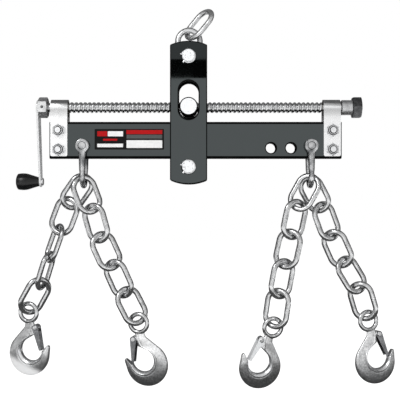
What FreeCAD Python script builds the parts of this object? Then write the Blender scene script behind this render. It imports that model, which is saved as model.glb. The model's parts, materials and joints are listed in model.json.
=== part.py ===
import FreeCAD, Part
import math
import os

# Engine load leveler: a beam under a crank-driven lifting carriage, with two shackles and four hook chains.
# Millimetres, +X along the beam away from the crank, +Z up, the front faces -Y. The origin is the centre of
# the upper lifting link, where a crane hook takes the load.

# Clearances
TOUCH_GAP = 0.3          # between pieces that bear on each other but can part
FIT_GAP = 0.1            # radial gap of a pin or bolt in its hole
RUN_GAP = 0.05           # radial gap of a shaft in its bush

# Chain links
WIRE = 8.6
LINK_INNER_LENGTH = 50.7
LINK_INNER_WIDTH = 27.3
MOST_PLAY = 6.0          # most that one chain piece may drop below the one above
PLAY_STEPS = 8           # halvings of that play when a piece is settled
ARC_STEPS = 48           # points along a half turn when a piece is settled
LEG_STEPS = 12           # points along a leg when a piece is settled

# Lifting links
UPPER_INNER_LENGTH = 45.5
LOWER_INNER_LENGTH = 52.7
LIFT_SLACK = 2.7         # play between the two links
UPPER_LEAN = 39.0        # degrees from upright, towards +X
UPPER_ROLL = -52.0       # degrees that the upper link is turned about its own length
LOWER_LEAN = -0.5        # degrees from upright, towards -X

# Carriage
PLATE_WIDTH = 61.0
PLATE_THICKNESS = 8.0
PLATE_INNER_GAP = 27.0
PLATE_ABOVE_PIN = 19.0   # top pin to the plate's upper corners
PLATE_BELOW_PIN = 22.0   # lower pin to the plate's lower corners
PLATE_CROWN = 6.5        # rise of the curved ends
SLOT_WIDTH = 32.5
SLOT_LENGTH = 63.5
SLOT_BELOW_PIN = 71.5    # top pin to the slot's centre
REAR_SLOT_RISE = 5.8     # how much higher the rear slot's lower end is
PIN_DIAMETER = 21.0
PIN_HEAD_DIAMETER = 29.0
PIN_HEAD_THICKNESS = 5.5
PIN_TAIL = 9.0           # length standing out of the front plate
CLIP_WIRE = 3.2
CLIP_FROM_PLATE = 2.0    # plate to the middle of the clip's groove
CLIP_ENDS = (165.0, 228.0)  # degrees from +X towards +Z where the clip's ends turn out
CLIP_TAIL = 3.4
ROLLER_DIAMETER = 27.6
NUT_DIAMETER = 30.0      # trunnion nut
NUT_STANDOUT = 2.0       # past each plate

# Screw
SCREW_BELOW_PIN = 81.9   # top pin to the screw axis
SCREW_DIAMETER = 17.8
JOURNAL_DIAMETER = 15.0

# Beam and end brackets
BEAM_LENGTH = 482.5
BEAM_HEIGHT = 60.8
BEAM_THICKNESS = 20.0
BEAM_WALL = 3.0
BEAM_CORNER = 4.0
BEAM_BELOW_SCREW = 24.2  # screw axis to the beam's top
BEAM_CENTRE_PAST_CARRIAGE = 11.4
HOLE_DIAMETER = 16.5
HOLE_BEVEL = 1.9
HOLE_ABOVE_BASE = 17.3   # the spare holes
SHACKLE_HOLE_RISE = 5.0  # how much higher the shackles' holes are
HOLE_PITCH = 33.0
RIGHT_HOLES = 3
RIGHT_HOLE_INSET = 50.8  # beam end to the outer hole
LEFT_HOLE_INSET = 55.1
STRAP_WIDTH = 28.0
STRAP_THICKNESS = 3.0
STRAP_INSET = 2.0        # from the beam's end
STRAP_ABOVE_BASE = 3.6   # strap's lower edge above the beam's base
STRAP_CORNER = 3.0
BOLT_DIAMETER = 12.0
BOLT_HEAD_FLATS = 18.0
BOLT_HEAD_HEIGHT = 7.5
BOLT_ABOVE_BASE = 14.5
BOLT_SPACING = 31.5
LOCKNUT_FLATS = 18.5
LOCKNUT_HEX_HEIGHT = 8.0
LOCKNUT_COLLAR_HEIGHT = 3.0
LOCKNUT_COLLAR_DIAMETER = 16.0
BOLT_STANDOUT = 1.5

# Screw ends
HUB_FLATS = 30.0
HUB_LENGTH = 14.5
HUB_GAP = 6.3            # bracket to hub
END_COLLAR_DIAMETER = 25.0
END_COLLAR_LENGTH = 18.5
END_COLLAR_GAP = 0.5
END_HEX_FLATS = 32.5
END_HEX_LENGTH = 14.0
END_HEX_TURN = 30.0      # degrees that brings a corner of the end hexagon to the front
HEX_CHAMFER = 2.0
ROLL_PIN_DIAMETER = 5.0

# Crank
CRANK_TURN = 10.0        # degrees from straight down, towards the back
ARM_THICKNESS = 3.2
ARM_LENGTH = 124.5
ARM_HUB_RADIUS = 12.0
ARM_END_RADIUS = 9.0
KNOB_LENGTH = 39.0
KNOB_NECK_DIAMETER = 14.5
KNOB_BODY_DIAMETER = 28.5
KNOB_TAPER_LENGTH = 19.0
KNOB_FLARE = 0.42        # share of the flare that is reached half way along it
KNOB_SWELL = 1.0         # rise of the grip's widest ring over its ends
KNOB_SWELL_SHIFT = 2.0   # how far that ring lies towards the neck
KNOB_DOME = 3.0
KNOB_BOLT_DIAMETER = 8.0
KNOB_BOLT_HEAD_DIAMETER = 13.0
KNOB_BOLT_HEAD_HEIGHT = 2.8
KNOB_BOLT_DEPTH = 28.0   # shank inside the knob

# Shackles
SHACKLE_WIRE = 9.2
SHACKLE_JAW = 24.0
SHACKLE_DROP = 61.0      # pin axis to the bow's inner face
SHACKLE_EAR_DIAMETER = 23.0
SHACKLE_PIN_DIAMETER = 13.0
SHACKLE_PIN_COLLAR = 19.0
SHACKLE_PIN_COLLAR_LENGTH = 3.5
SHACKLE_PIN_EYE = 19.0
SHACKLE_PIN_EYE_THICKNESS = 7.0
SHACKLE_PIN_EYE_HOLE = 7.5
SLING_SPREAD = 7.0       # half the distance between two chains on one bow

# Hooks, measured from the centre of the eye
EYE_INNER_DIAMETER = 22.6
EYE_WIRE = 6.6
HOOK_THICKNESS = 14.0
HOOK_NECK_THICKNESS = 8.4
HOOK_NECK_LEFT = 9.0
HOOK_NECK_RIGHT = 9.5
HOOK_NECK_DROP = 25.0
HOOK_BOWL_RADIUS = 19.0
HOOK_BOWL_DROP = 61.5
HOOK_BOWL_ACROSS = 0.5
HOOK_BOWL_START = 13.0   # degrees below level where the bowl leaves the tip's inner side
HOOK_BACK_RADIUS = 36.0
HOOK_BACK_DROP = 69.0
HOOK_BACK_ACROSS = -5.0
HOOK_BACK_END = 8.0      # degrees below level where the back runs out into the tip
HOOK_THROAT_ACROSS = 8.0
HOOK_THROAT_DROP = 37.0
HOOK_TAPER_START = 46.0
HOOK_TAPER_END = 68.0
HOOK_BEVEL = 4.0
TIP_ACROSS = 33.5
TIP_DROP = 60.0
TIP_RISE = 4.0
TIP_WIDTH = 6.0
LATCH_PIVOT_ACROSS = 11.9
LATCH_PIVOT_DROP = 25.5
LATCH_EAR_RADIUS = 5.4
LATCH_SHEET = 1.4
LATCH_LENGTH = 38.5
LATCH_LEAN = 3.9         # degrees that the latch leans out to the tip
LATCH_END_WIDTH = 4.0
LATCH_WEB_DROP = 6.5     # pivot to the upper edge of the web
RIVET_DIAMETER = 4.6
RIVET_HEAD_DIAMETER = 7.6
RIVET_HEAD_HEIGHT = 1.4

# How the chains are laid out: lean of each link from straight down, towards +X, its turn about its own
# length, the hook's lean and turn, the side that the hook opens to, which side of the bow the chain hangs
# on, and how far round its bend the first link takes the bow
CHAINS = {
    "left_outer": {
        "shackle": "left", "side": 1, "opens": 1, "hang": -43.0,
        "leans": [-35.0, -20.5, -19.5, -17.0, -29.0], "rolls": [30.0, -15.0, -60.0, 76.0, 34.0],
        "hook_lean": 5.0, "hook_roll": -15.0,
    },
    "left_inner": {
        "shackle": "left", "side": -1, "opens": -1, "hang": 13.0,
        "leans": [20.8, 15.5, 24.5, 24.0, 27.0], "rolls": [26.0, -27.0, 27.0, -27.0, 27.0],
        "hook_lean": 8.0, "hook_roll": -16.0,
    },
    "right_inner": {
        "shackle": "right", "side": -1, "opens": -1, "hang": -38.0,
        "leans": [-29.0, -12.0, -12.5, -10.5, -8.5], "rolls": [-27.0, 27.0, -27.0, 27.0, -27.0],
        "hook_lean": -22.0, "hook_roll": 16.0,
    },
    "right_outer": {
        "shackle": "right", "side": 1, "opens": 1, "hang": 19.0,
        "leans": [27.7, 20.0, 24.0, 31.0, 16.5], "rolls": [-27.0, 27.0, -27.0, 27.0, -27.0],
        "hook_lean": 13.0, "hook_roll": 16.0,
    },
}

Vec = FreeCAD.Vector
X_AXIS, Y_AXIS, Z_AXIS = Vec(1, 0, 0), Vec(0, 1, 0), Vec(0, 0, 1)

# Places that follow from the sizes above
WIRE_RADIUS = WIRE / 2
BEND_RADIUS = LINK_INNER_WIDTH / 2 + WIRE_RADIUS
LINK_HALF = (LINK_INNER_LENGTH + WIRE) / 2
UPPER_HALF = (UPPER_INNER_LENGTH + WIRE) / 2
LOWER_HALF = (LOWER_INNER_LENGTH + WIRE) / 2
UPPER_END_X = -UPPER_HALF * math.sin(math.radians(UPPER_LEAN))
UPPER_END_Z = -UPPER_HALF * math.cos(math.radians(UPPER_LEAN))
LOWER_LINK_X = UPPER_END_X + LOWER_HALF * math.sin(math.radians(LOWER_LEAN))
LOWER_LINK_Z = UPPER_END_Z + WIRE + LIFT_SLACK - LOWER_HALF * math.cos(math.radians(LOWER_LEAN))
LINK_TO_PIN = LOWER_HALF - WIRE_RADIUS - PIN_DIAMETER / 2 - TOUCH_GAP
CARRIAGE_X = LOWER_LINK_X + LINK_TO_PIN * math.sin(math.radians(LOWER_LEAN))
TOP_PIN_Z = LOWER_LINK_Z - LINK_TO_PIN * math.cos(math.radians(LOWER_LEAN))
SCREW_Z = TOP_PIN_Z - SCREW_BELOW_PIN
BEAM_TOP = SCREW_Z - BEAM_BELOW_SCREW
BEAM_BASE = BEAM_TOP - BEAM_HEIGHT
LOWER_PIN_Z = BEAM_BASE - TOUCH_GAP - ROLLER_DIAMETER / 2
BEAM_CENTRE_X = CARRIAGE_X + BEAM_CENTRE_PAST_CARRIAGE
BEAM_LEFT = BEAM_CENTRE_X - BEAM_LENGTH / 2
BEAM_RIGHT = BEAM_CENTRE_X + BEAM_LENGTH / 2
HOLE_Z = BEAM_BASE + HOLE_ABOVE_BASE
SHACKLE_HOLE_Z = HOLE_Z + SHACKLE_HOLE_RISE
LEFT_HOLES_X = [BEAM_LEFT + LEFT_HOLE_INSET]
RIGHT_HOLES_X = [BEAM_RIGHT - RIGHT_HOLE_INSET - HOLE_PITCH * i for i in range(RIGHT_HOLES)]
STRAP_STARTS = {"left": BEAM_LEFT + STRAP_INSET, "right": BEAM_RIGHT - STRAP_INSET - STRAP_WIDTH}
STRAP_OUTER = BEAM_THICKNESS / 2 + STRAP_THICKNESS
BOLT_HEIGHTS = [BEAM_BASE + BOLT_ABOVE_BASE, BEAM_BASE + BOLT_ABOVE_BASE + BOLT_SPACING]
HUB_RIGHT = STRAP_STARTS["left"] - HUB_GAP
HUB_LEFT = HUB_RIGHT - HUB_LENGTH
ARM_LEFT = HUB_LEFT - ARM_THICKNESS
END_COLLAR_LEFT = BEAM_RIGHT + END_COLLAR_GAP
END_HEX_LEFT = END_COLLAR_LEFT + END_COLLAR_LENGTH
SCREW_RIGHT = END_HEX_LEFT + END_HEX_LENGTH
PLATE_INNER_Y = PLATE_INNER_GAP / 2
PLATE_OUTER_Y = PLATE_INNER_Y + PLATE_THICKNESS
SHACKLE_X = {"left": LEFT_HOLES_X[0], "right": RIGHT_HOLES_X[0]}
SHACKLE_PIN_Z = SHACKLE_HOLE_Z - (HOLE_DIAMETER - SHACKLE_PIN_DIAMETER) / 2 + TOUCH_GAP
BOW_RADIUS = (SHACKLE_JAW + SHACKLE_WIRE) / 2
BOW_CENTRE_Z = SHACKLE_PIN_Z - SHACKLE_DROP + SHACKLE_JAW / 2
EYE_RADIUS = (EYE_INNER_DIAMETER + EYE_WIRE) / 2
LATCH_INNER = HOOK_NECK_THICKNESS + 2 * TOUCH_GAP
LATCH_OUTER = LATCH_INNER + 2 * LATCH_SHEET


def cylinder(diameter, start, end):
    """A round bar between two points."""
    return Part.makeCylinder(diameter / 2, (end - start).Length, start, end - start)


def hexagon(flats, start, length, turn):
    """A hexagonal bar along +X from start, turned from having a facet that faces -Y."""
    radius = flats / math.sqrt(3)
    corners = [math.radians(60 * i + turn) for i in range(7)]
    points = [start + Vec(0, radius * math.sin(a), radius * math.cos(a)) for a in corners]
    return Part.Face(Part.makePolygon(points)).extrude(Vec(length, 0, 0))


def turned(points, origin, axis_point, axis):
    """A solid of revolution from straight and curved outline points lying in one half plane."""
    outline = Part.makePolygon([origin + p for p in points + points[:1]])
    return Part.Face(outline).revolve(axis_point, axis, 360)


def fused(first, *others):
    return first.fuse(list(others)).removeSplitter()


def turned_by(lean, roll):
    """A turn about the length of a hanging piece, followed by its lean towards +X."""
    return FreeCAD.Rotation(Y_AXIS, -lean).multiply(FreeCAD.Rotation(Z_AXIS, roll))


def placed(shape, centre, lean, roll):
    """A copy of a shape hanging along -Z, turned and leaned and moved to its place."""
    copy = shape.copy()
    copy.Placement = FreeCAD.Placement(centre, turned_by(lean, roll)).multiply(copy.Placement)
    return copy


def upward(lean):
    """The direction from the lower to the upper end of a leaning piece."""
    angle = math.radians(lean)
    return Vec(-math.sin(angle), 0, math.cos(angle))


def chain_link(inner_length):
    """An oval link of round wire in the XZ plane, its length along Z."""
    leg = inner_length - LINK_INNER_WIDTH
    section = Part.Face(Part.Wire(Part.makeCircle(WIRE_RADIUS, Vec(BEND_RADIUS, 0, leg / 2), Z_AXIS)))
    upper_bend = section.revolve(Vec(0, 0, leg / 2), Y_AXIS, -180)
    lower_bend = upper_bend.mirror(Vec(0, 0, 0), Z_AXIS)
    legs = [
        cylinder(WIRE, Vec(side * BEND_RADIUS, 0, -leg / 2), Vec(side * BEND_RADIUS, 0, leg / 2))
        for side in (-1, 1)
    ]
    return fused(upper_bend, lower_bend, *legs)


def lifting_links():
    upper, lower = chain_link(UPPER_INNER_LENGTH), chain_link(LOWER_INNER_LENGTH)
    return {
        "upper_lifting_link": placed(upper, Vec(0, 0, 0), -UPPER_LEAN, UPPER_ROLL),
        "lower_lifting_link": placed(lower, Vec(LOWER_LINK_X, 0, LOWER_LINK_Z), LOWER_LEAN, 0),
    }


def carriage_plate(front):
    """A slotted plate with bowed ends and holes for the two pins."""
    half = PLATE_WIDTH / 2
    top = TOP_PIN_Z + PLATE_ABOVE_PIN
    base = LOWER_PIN_Z - PLATE_BELOW_PIN
    y = -PLATE_OUTER_Y if front else PLATE_INNER_Y

    def at(across, height):
        return Vec(CARRIAGE_X + across, y, height)

    outline = Part.Wire([
        Part.LineSegment(at(-half, base), at(-half, top)).toShape(),
        Part.Arc(at(-half, top), at(0, top + PLATE_CROWN), at(half, top)).toShape(),
        Part.LineSegment(at(half, top), at(half, base)).toShape(),
        Part.Arc(at(half, base), at(0, base - PLATE_CROWN), at(-half, base)).toShape(),
    ])
    plate = Part.Face(outline).extrude(Vec(0, PLATE_THICKNESS, 0))
    through = Vec(0, PLATE_THICKNESS, 0)
    slot_reach = SLOT_LENGTH / 2 - SLOT_WIDTH / 2
    slot_head = TOP_PIN_Z - SLOT_BELOW_PIN + slot_reach
    slot_foot = slot_head - 2 * slot_reach + (0 if front else REAR_SLOT_RISE)
    slot_corner = at(-SLOT_WIDTH / 2, slot_foot)
    cuts = [Part.makeBox(SLOT_WIDTH, PLATE_THICKNESS, slot_head - slot_foot, slot_corner)]
    cuts += [cylinder(SLOT_WIDTH, at(0, z), at(0, z) + through) for z in (slot_foot, slot_head)]
    pin_hole = PIN_DIAMETER + 2 * FIT_GAP
    cuts += [cylinder(pin_hole, at(0, z), at(0, z) + through) for z in (TOP_PIN_Z, LOWER_PIN_Z)]
    return plate.cut(cuts)


def clip_place(height):
    """The middle of the groove for a pin's retaining clip."""
    return Vec(CARRIAGE_X, -PLATE_OUTER_Y - CLIP_FROM_PLATE, height)


def carriage_pin(height):
    """A headed pin through both plates, grooved at the front for a retaining clip."""
    tail = Vec(CARRIAGE_X, -PLATE_OUTER_Y - PIN_TAIL, height)
    seat = Vec(CARRIAGE_X, PLATE_OUTER_Y, height)
    shank = cylinder(PIN_DIAMETER, tail, seat)
    shank = shank.makeChamfer(HEX_CHAMFER / 2, front_rims(shank))
    head = cylinder(PIN_HEAD_DIAMETER, seat, seat + Vec(0, PIN_HEAD_THICKNESS, 0))
    outer_rim = [e for e in full_circles(head) if e.BoundBox.YMin > seat.y + FIT_GAP]
    head = head.makeChamfer(HEX_CHAMFER / 2, outer_rim)
    groove = Part.makeTorus(PIN_DIAMETER / 2, CLIP_WIRE / 2 + FIT_GAP, clip_place(height), Y_AXIS)
    return fused(shank, head).cut(groove)


def retaining_clip(height):
    """A round-wire ring in a pin's groove, its two ends turned out on the left."""
    middle = clip_place(height)

    def outward(angle):
        return Vec(math.cos(math.radians(angle)), 0, math.sin(math.radians(angle)))

    start, end = CLIP_ENDS
    pieces = []
    first = middle + outward(end) * (PIN_DIAMETER / 2)
    section = Part.Face(Part.Wire(Part.makeCircle(CLIP_WIRE / 2, first, outward(end + 90))))
    ring = section.revolve(middle, -Y_AXIS, start + 360 - end)
    for angle in CLIP_ENDS:
        root = middle + outward(angle) * (PIN_DIAMETER / 2)
        pieces.append(cylinder(CLIP_WIRE, root, root + outward(angle) * CLIP_TAIL))
    return fused(ring, *pieces)


def carriage():
    roller_end = Vec(0, PLATE_INNER_Y - TOUCH_GAP, 0)
    lower = Vec(CARRIAGE_X, 0, LOWER_PIN_Z)
    roller = cylinder(ROLLER_DIAMETER, lower - roller_end, lower + roller_end)
    roller = roller.cut(cylinder(PIN_DIAMETER + 2 * FIT_GAP, lower - roller_end, lower + roller_end))
    return {
        "front_carriage_plate": carriage_plate(True),
        "rear_carriage_plate": carriage_plate(False),
        "top_pin": carriage_pin(TOP_PIN_Z),
        "lower_pin": carriage_pin(LOWER_PIN_Z),
        "retaining_clips": Part.makeCompound([retaining_clip(z) for z in (TOP_PIN_Z, LOWER_PIN_Z)]),
        "lower_roller": roller,
        "trunnion_nut": trunnion_nut(),
    }


def trunnion_nut():
    """A round cross bar that rides in both slots, bored across for the screw."""
    end = Vec(0, PLATE_OUTER_Y + NUT_STANDOUT, 0)
    centre = Vec(CARRIAGE_X, 0, SCREW_Z)
    bar = cylinder(NUT_DIAMETER, centre - end, centre + end)
    bar = bar.makeChamfer(HEX_CHAMFER / 2, full_circles(bar))
    bore = Vec(NUT_DIAMETER, 0, 0)
    return bar.cut(cylinder(SCREW_DIAMETER + 2 * TOUCH_GAP, centre - bore, centre + bore))


def beam():
    """A rectangular tube with bevelled shackle holes and bolt holes for the end brackets."""
    tube = rounded_bar(BEAM_THICKNESS, BEAM_HEIGHT, BEAM_CORNER)
    inner = rounded_bar(BEAM_THICKNESS - 2 * BEAM_WALL, BEAM_HEIGHT - 2 * BEAM_WALL, BEAM_CORNER - BEAM_WALL)
    cuts = [inner]
    depth = Vec(0, BEAM_THICKNESS / 2, 0)
    for x in LEFT_HOLES_X + RIGHT_HOLES_X:
        middle = Vec(x, 0, SHACKLE_HOLE_Z if x in SHACKLE_X.values() else HOLE_Z)
        cuts.append(cylinder(HOLE_DIAMETER, middle - depth, middle + depth))
        for side in (-1, 1):
            cuts.append(Part.makeCone(HOLE_DIAMETER / 2 + HOLE_BEVEL, HOLE_DIAMETER / 2, HOLE_BEVEL,
                                      middle + depth * side, Y_AXIS * -side))
    cuts += [cylinder(BOLT_DIAMETER + 2 * FIT_GAP, p - depth, p + depth) for p in bracket_bolt_places()]
    return tube.cut(cuts)


def rounded_bar(thickness, height, corner):
    """A bar of the beam's length with rounded long edges."""
    bar = Part.makeBox(BEAM_LENGTH, thickness, height,
                       Vec(BEAM_LEFT, -thickness / 2, (BEAM_TOP + BEAM_BASE - height) / 2))
    return bar.makeFillet(corner, [e for e in bar.Edges if e.BoundBox.XLength > BEAM_LENGTH / 2])


def bracket_bolt_places():
    return [
        Vec(start + STRAP_WIDTH / 2, 0, height)
        for start in STRAP_STARTS.values() for height in BOLT_HEIGHTS
    ]


def end_bracket(start):
    """A strap bent over the screw, its legs bolted through the beam."""
    inner, outer = BEAM_THICKNESS / 2, STRAP_OUTER
    base = BEAM_BASE + STRAP_ABOVE_BASE

    def at(y, z):
        return Vec(start, y, z)

    outline = Part.Wire([
        Part.LineSegment(at(-outer, base), at(-outer, SCREW_Z)).toShape(),
        Part.Arc(at(-outer, SCREW_Z), at(0, SCREW_Z + outer), at(outer, SCREW_Z)).toShape(),
        Part.LineSegment(at(outer, SCREW_Z), at(outer, base)).toShape(),
        Part.LineSegment(at(outer, base), at(inner, base)).toShape(),
        Part.LineSegment(at(inner, base), at(inner, SCREW_Z)).toShape(),
        Part.Arc(at(inner, SCREW_Z), at(0, SCREW_Z + inner), at(-inner, SCREW_Z)).toShape(),
        Part.LineSegment(at(-inner, SCREW_Z), at(-inner, base)).toShape(),
        Part.LineSegment(at(-inner, base), at(-outer, base)).toShape(),
    ])
    strap = Part.Face(outline).extrude(Vec(STRAP_WIDTH, 0, 0))
    corners = [
        e for e in strap.Edges
        if e.BoundBox.ZMax < base + FIT_GAP and e.BoundBox.YLength > STRAP_THICKNESS / 2
    ]
    strap = strap.makeFillet(STRAP_CORNER, corners)
    depth = Vec(0, outer, 0)
    holes = [
        cylinder(BOLT_DIAMETER + 2 * FIT_GAP, p - depth, p + depth)
        for p in bracket_bolt_places() if start < p.x < start + STRAP_WIDTH
    ]
    return strap.cut(holes)


def bracket_bolt(place):
    seat = place + Vec(0, STRAP_OUTER, 0)
    end_y = -STRAP_OUTER - LOCKNUT_HEX_HEIGHT - LOCKNUT_COLLAR_HEIGHT - BOLT_STANDOUT
    shank = cylinder(BOLT_DIAMETER, Vec(place.x, end_y, place.z), seat)
    head = upright_hexagon(BOLT_HEAD_FLATS, seat, BOLT_HEAD_HEIGHT)
    return fused(shank, head)


def upright_hexagon(flats, seat, height):
    """A hexagonal prism standing on its seat along Y, its outer corners turned off."""
    radius = flats / math.sqrt(3)
    points = [
        seat + Vec(radius * math.sin(math.radians(60 * i)), 0, radius * math.cos(math.radians(60 * i)))
        for i in range(7)
    ]
    prism = Part.Face(Part.makePolygon(points)).extrude(Vec(0, height, 0))
    cone_height = abs(height) + radius - flats / 2
    cone = Part.makeCone(flats / 2 + cone_height * 2, flats / 2, cone_height * 2,
                         seat + Vec(0, height - math.copysign(cone_height * 2, height), 0),
                         Vec(0, height, 0))
    return prism.common(cone)


def locknut(place):
    seat = place - Vec(0, STRAP_OUTER, 0)
    body = upright_hexagon(LOCKNUT_FLATS, seat, -LOCKNUT_HEX_HEIGHT)
    top = seat - Vec(0, LOCKNUT_HEX_HEIGHT, 0)
    collar = cylinder(LOCKNUT_COLLAR_DIAMETER, top, top - Vec(0, LOCKNUT_COLLAR_HEIGHT, 0))
    collar = collar.makeChamfer(HEX_CHAMFER / 2, front_rims(collar))
    bore = cylinder(BOLT_DIAMETER + 2 * FIT_GAP, seat, top - Vec(0, LOCKNUT_COLLAR_HEIGHT, 0))
    return fused(body, collar).cut(bore)


def front_rims(shape):
    """The edges round a shape's front face."""
    front = shape.BoundBox.YMin + FIT_GAP
    return [e for e in shape.Edges if e.BoundBox.YMax < front]


def full_circles(shape):
    return [e for e in shape.Edges if len(e.Vertexes) == 1]


def beam_group():
    places = bracket_bolt_places()
    return {
        "main_beam": beam(),
        "left_end_bracket": end_bracket(STRAP_STARTS["left"]),
        "right_end_bracket": end_bracket(STRAP_STARTS["right"]),
        "bracket_bolts": Part.makeCompound([bracket_bolt(p) for p in places]),
        "bracket_nuts": Part.makeCompound([locknut(p) for p in places]),
        "screw_bushes": Part.makeCompound([bush(start) for start in STRAP_STARTS.values()]),
    }


def bush(start):
    """A plain bearing bush held in the bend of an end bracket."""
    left, right = on_screw(start), on_screw(start + STRAP_WIDTH)
    ring = cylinder(BEAM_THICKNESS - 2 * FIT_GAP, left, right)
    return ring.cut(cylinder(JOURNAL_DIAMETER + 2 * RUN_GAP, left, right))


def on_screw(x, y=0.0, z=0.0):
    return Vec(x, y, SCREW_Z + z)


def roll_pin_line(x, flats, turn):
    """The two ends of a roll pin's hole through two facets of a hexagon."""
    angle = math.radians(turn)
    reach = Vec(0, -math.cos(angle), math.sin(angle)) * (flats / 2)
    return on_screw(x) + reach, on_screw(x) - reach


def roll_pin_lines():
    hub_middle = (HUB_LEFT + HUB_RIGHT) / 2
    end_middle = END_HEX_LEFT + END_HEX_LENGTH / 2
    hub_line = roll_pin_line(hub_middle, HUB_FLATS, 0)
    return [hub_line, roll_pin_line(end_middle, END_HEX_FLATS, END_HEX_TURN)]


def drilled(shape):
    """A shape with the two roll-pin holes cut wherever they cross it."""
    return shape.cut([cylinder(ROLL_PIN_DIAMETER + 2 * RUN_GAP, a, b) for a, b in roll_pin_lines()])


def lead_screw():
    """The screw at its thread's outer diameter, with turned-down journals at both ends."""
    thread_left = STRAP_STARTS["left"] + STRAP_WIDTH + TOUCH_GAP
    thread_right = STRAP_STARTS["right"] - TOUCH_GAP
    thread = cylinder(SCREW_DIAMETER, on_screw(thread_left), on_screw(thread_right))
    thread = thread.makeChamfer(HEX_CHAMFER / 2, full_circles(thread))
    journal = cylinder(JOURNAL_DIAMETER, on_screw(ARM_LEFT), on_screw(SCREW_RIGHT))
    return drilled(fused(thread, journal))


def hex_collar(left, length, flats, turn):
    """A bored hexagon on the screw, its corners turned off at both faces."""
    block = hexagon(flats, on_screw(left), length, turn)
    radius = flats / math.sqrt(3)
    profile = [
        Vec(0, 0, 0), Vec(0, 0, radius - HEX_CHAMFER), Vec(HEX_CHAMFER / 2, 0, radius),
        Vec(length - HEX_CHAMFER / 2, 0, radius), Vec(length, 0, radius - HEX_CHAMFER), Vec(length, 0, 0),
    ]
    block = block.common(turned(profile, on_screw(left), on_screw(left), X_AXIS))
    bore = cylinder(JOURNAL_DIAMETER + 2 * RUN_GAP, on_screw(left), on_screw(left + length))
    return drilled(block.cut(bore))


def crank_direction():
    angle = math.radians(CRANK_TURN)
    return Vec(0, math.sin(angle), -math.cos(angle))


def crank_arm():
    """A flat bar that tapers from the screw's end to the knob."""
    down = crank_direction()
    across = X_AXIS.cross(down)
    hub, end = on_screw(ARM_LEFT), on_screw(ARM_LEFT) + down * ARM_LENGTH
    slope = math.asin((ARM_HUB_RADIUS - ARM_END_RADIUS) / ARM_LENGTH)

    def tangent(centre, radius, side):
        return centre + across * (side * radius * math.cos(slope)) + down * (radius * math.sin(slope))

    left_top, left_end = tangent(hub, ARM_HUB_RADIUS, -1), tangent(end, ARM_END_RADIUS, -1)
    right_top, right_end = tangent(hub, ARM_HUB_RADIUS, 1), tangent(end, ARM_END_RADIUS, 1)
    outline = Part.Wire([
        Part.LineSegment(left_top, left_end).toShape(),
        Part.Arc(left_end, end + down * ARM_END_RADIUS, right_end).toShape(),
        Part.LineSegment(right_end, right_top).toShape(),
        Part.Arc(right_top, hub - down * ARM_HUB_RADIUS, left_top).toShape(),
    ])
    bar = Part.Face(outline).extrude(Vec(ARM_THICKNESS, 0, 0))
    through = Vec(ARM_THICKNESS, 0, 0)
    return bar.cut([
        cylinder(JOURNAL_DIAMETER + 2 * RUN_GAP, hub, hub + through),
        cylinder(KNOB_BOLT_DIAMETER + 2 * RUN_GAP, end, end + through),
    ])


def knob_axis():
    """Where the knob's axis leaves the arm's outer face."""
    return on_screw(ARM_LEFT) + crank_direction() * ARM_LENGTH


def knob():
    """A handle that flares from a slim neck to a domed round end, bored for its bolt."""
    start = knob_axis() - Vec(TOUCH_GAP, 0, 0)
    neck, body = KNOB_NECK_DIAMETER / 2, KNOB_BODY_DIAMETER / 2
    rim, flare_end, edge = body - KNOB_SWELL, KNOB_TAPER_LENGTH, KNOB_LENGTH - KNOB_DOME
    widest = (KNOB_LENGTH + flare_end) / 2 - KNOB_SWELL_SHIFT
    dome_middle = KNOB_LENGTH - KNOB_DOME / 3

    def at(out, radius):
        return start + Vec(-out, 0, radius)

    mid_flare = at(flare_end / 2, neck + (body - neck) * KNOB_FLARE)
    outline = Part.Wire([
        Part.LineSegment(at(0, 0), at(0, neck)).toShape(),
        Part.Arc(at(0, neck), mid_flare, at(flare_end, rim)).toShape(),
        Part.Arc(at(flare_end, rim), at(widest, body), at(edge, rim)).toShape(),
        Part.Arc(at(edge, rim), at(dome_middle, body * 0.7), at(KNOB_LENGTH, neck / 2)).toShape(),
        Part.LineSegment(at(KNOB_LENGTH, neck / 2), at(KNOB_LENGTH, 0)).toShape(),
        Part.LineSegment(at(KNOB_LENGTH, 0), at(0, 0)).toShape(),
    ])
    handle = Part.Face(outline).revolve(start, X_AXIS, 360)
    bore_end = start - Vec(KNOB_BOLT_DEPTH + TOUCH_GAP, 0, 0)
    return handle.cut(cylinder(KNOB_BOLT_DIAMETER + 2 * FIT_GAP, start, bore_end))


def knob_bolt():
    face = knob_axis()
    inner = face + Vec(ARM_THICKNESS, 0, 0)
    shank = cylinder(KNOB_BOLT_DIAMETER, face - Vec(KNOB_BOLT_DEPTH, 0, 0), inner)
    head = cylinder(KNOB_BOLT_HEAD_DIAMETER, inner, inner + Vec(KNOB_BOLT_HEAD_HEIGHT, 0, 0))
    rim = [e for e in full_circles(head) if e.BoundBox.XMin > inner.x + FIT_GAP]
    return fused(shank, head.makeFillet(KNOB_BOLT_HEAD_HEIGHT / 3, rim))


def screw_group():
    collar = cylinder(END_COLLAR_DIAMETER, on_screw(END_COLLAR_LEFT), on_screw(END_HEX_LEFT))
    bore = cylinder(JOURNAL_DIAMETER + 2 * RUN_GAP, on_screw(END_COLLAR_LEFT), on_screw(END_HEX_LEFT))
    collar = collar.makeChamfer(HEX_CHAMFER / 2, full_circles(collar))
    pins = [cylinder(ROLL_PIN_DIAMETER, a, b) for a, b in roll_pin_lines()]
    return {
        "lead_screw": lead_screw(),
        "crank_hub": hex_collar(HUB_LEFT, HUB_LENGTH, HUB_FLATS, 0),
        "end_hex": hex_collar(END_HEX_LEFT, END_HEX_LENGTH, END_HEX_FLATS, END_HEX_TURN),
        "thrust_collar": collar.cut(bore),
        "roll_pins": Part.makeCompound(pins),
        "crank_arm": crank_arm(),
        "knob_bolt": knob_bolt(),
        "knob": knob(),
    }


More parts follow.
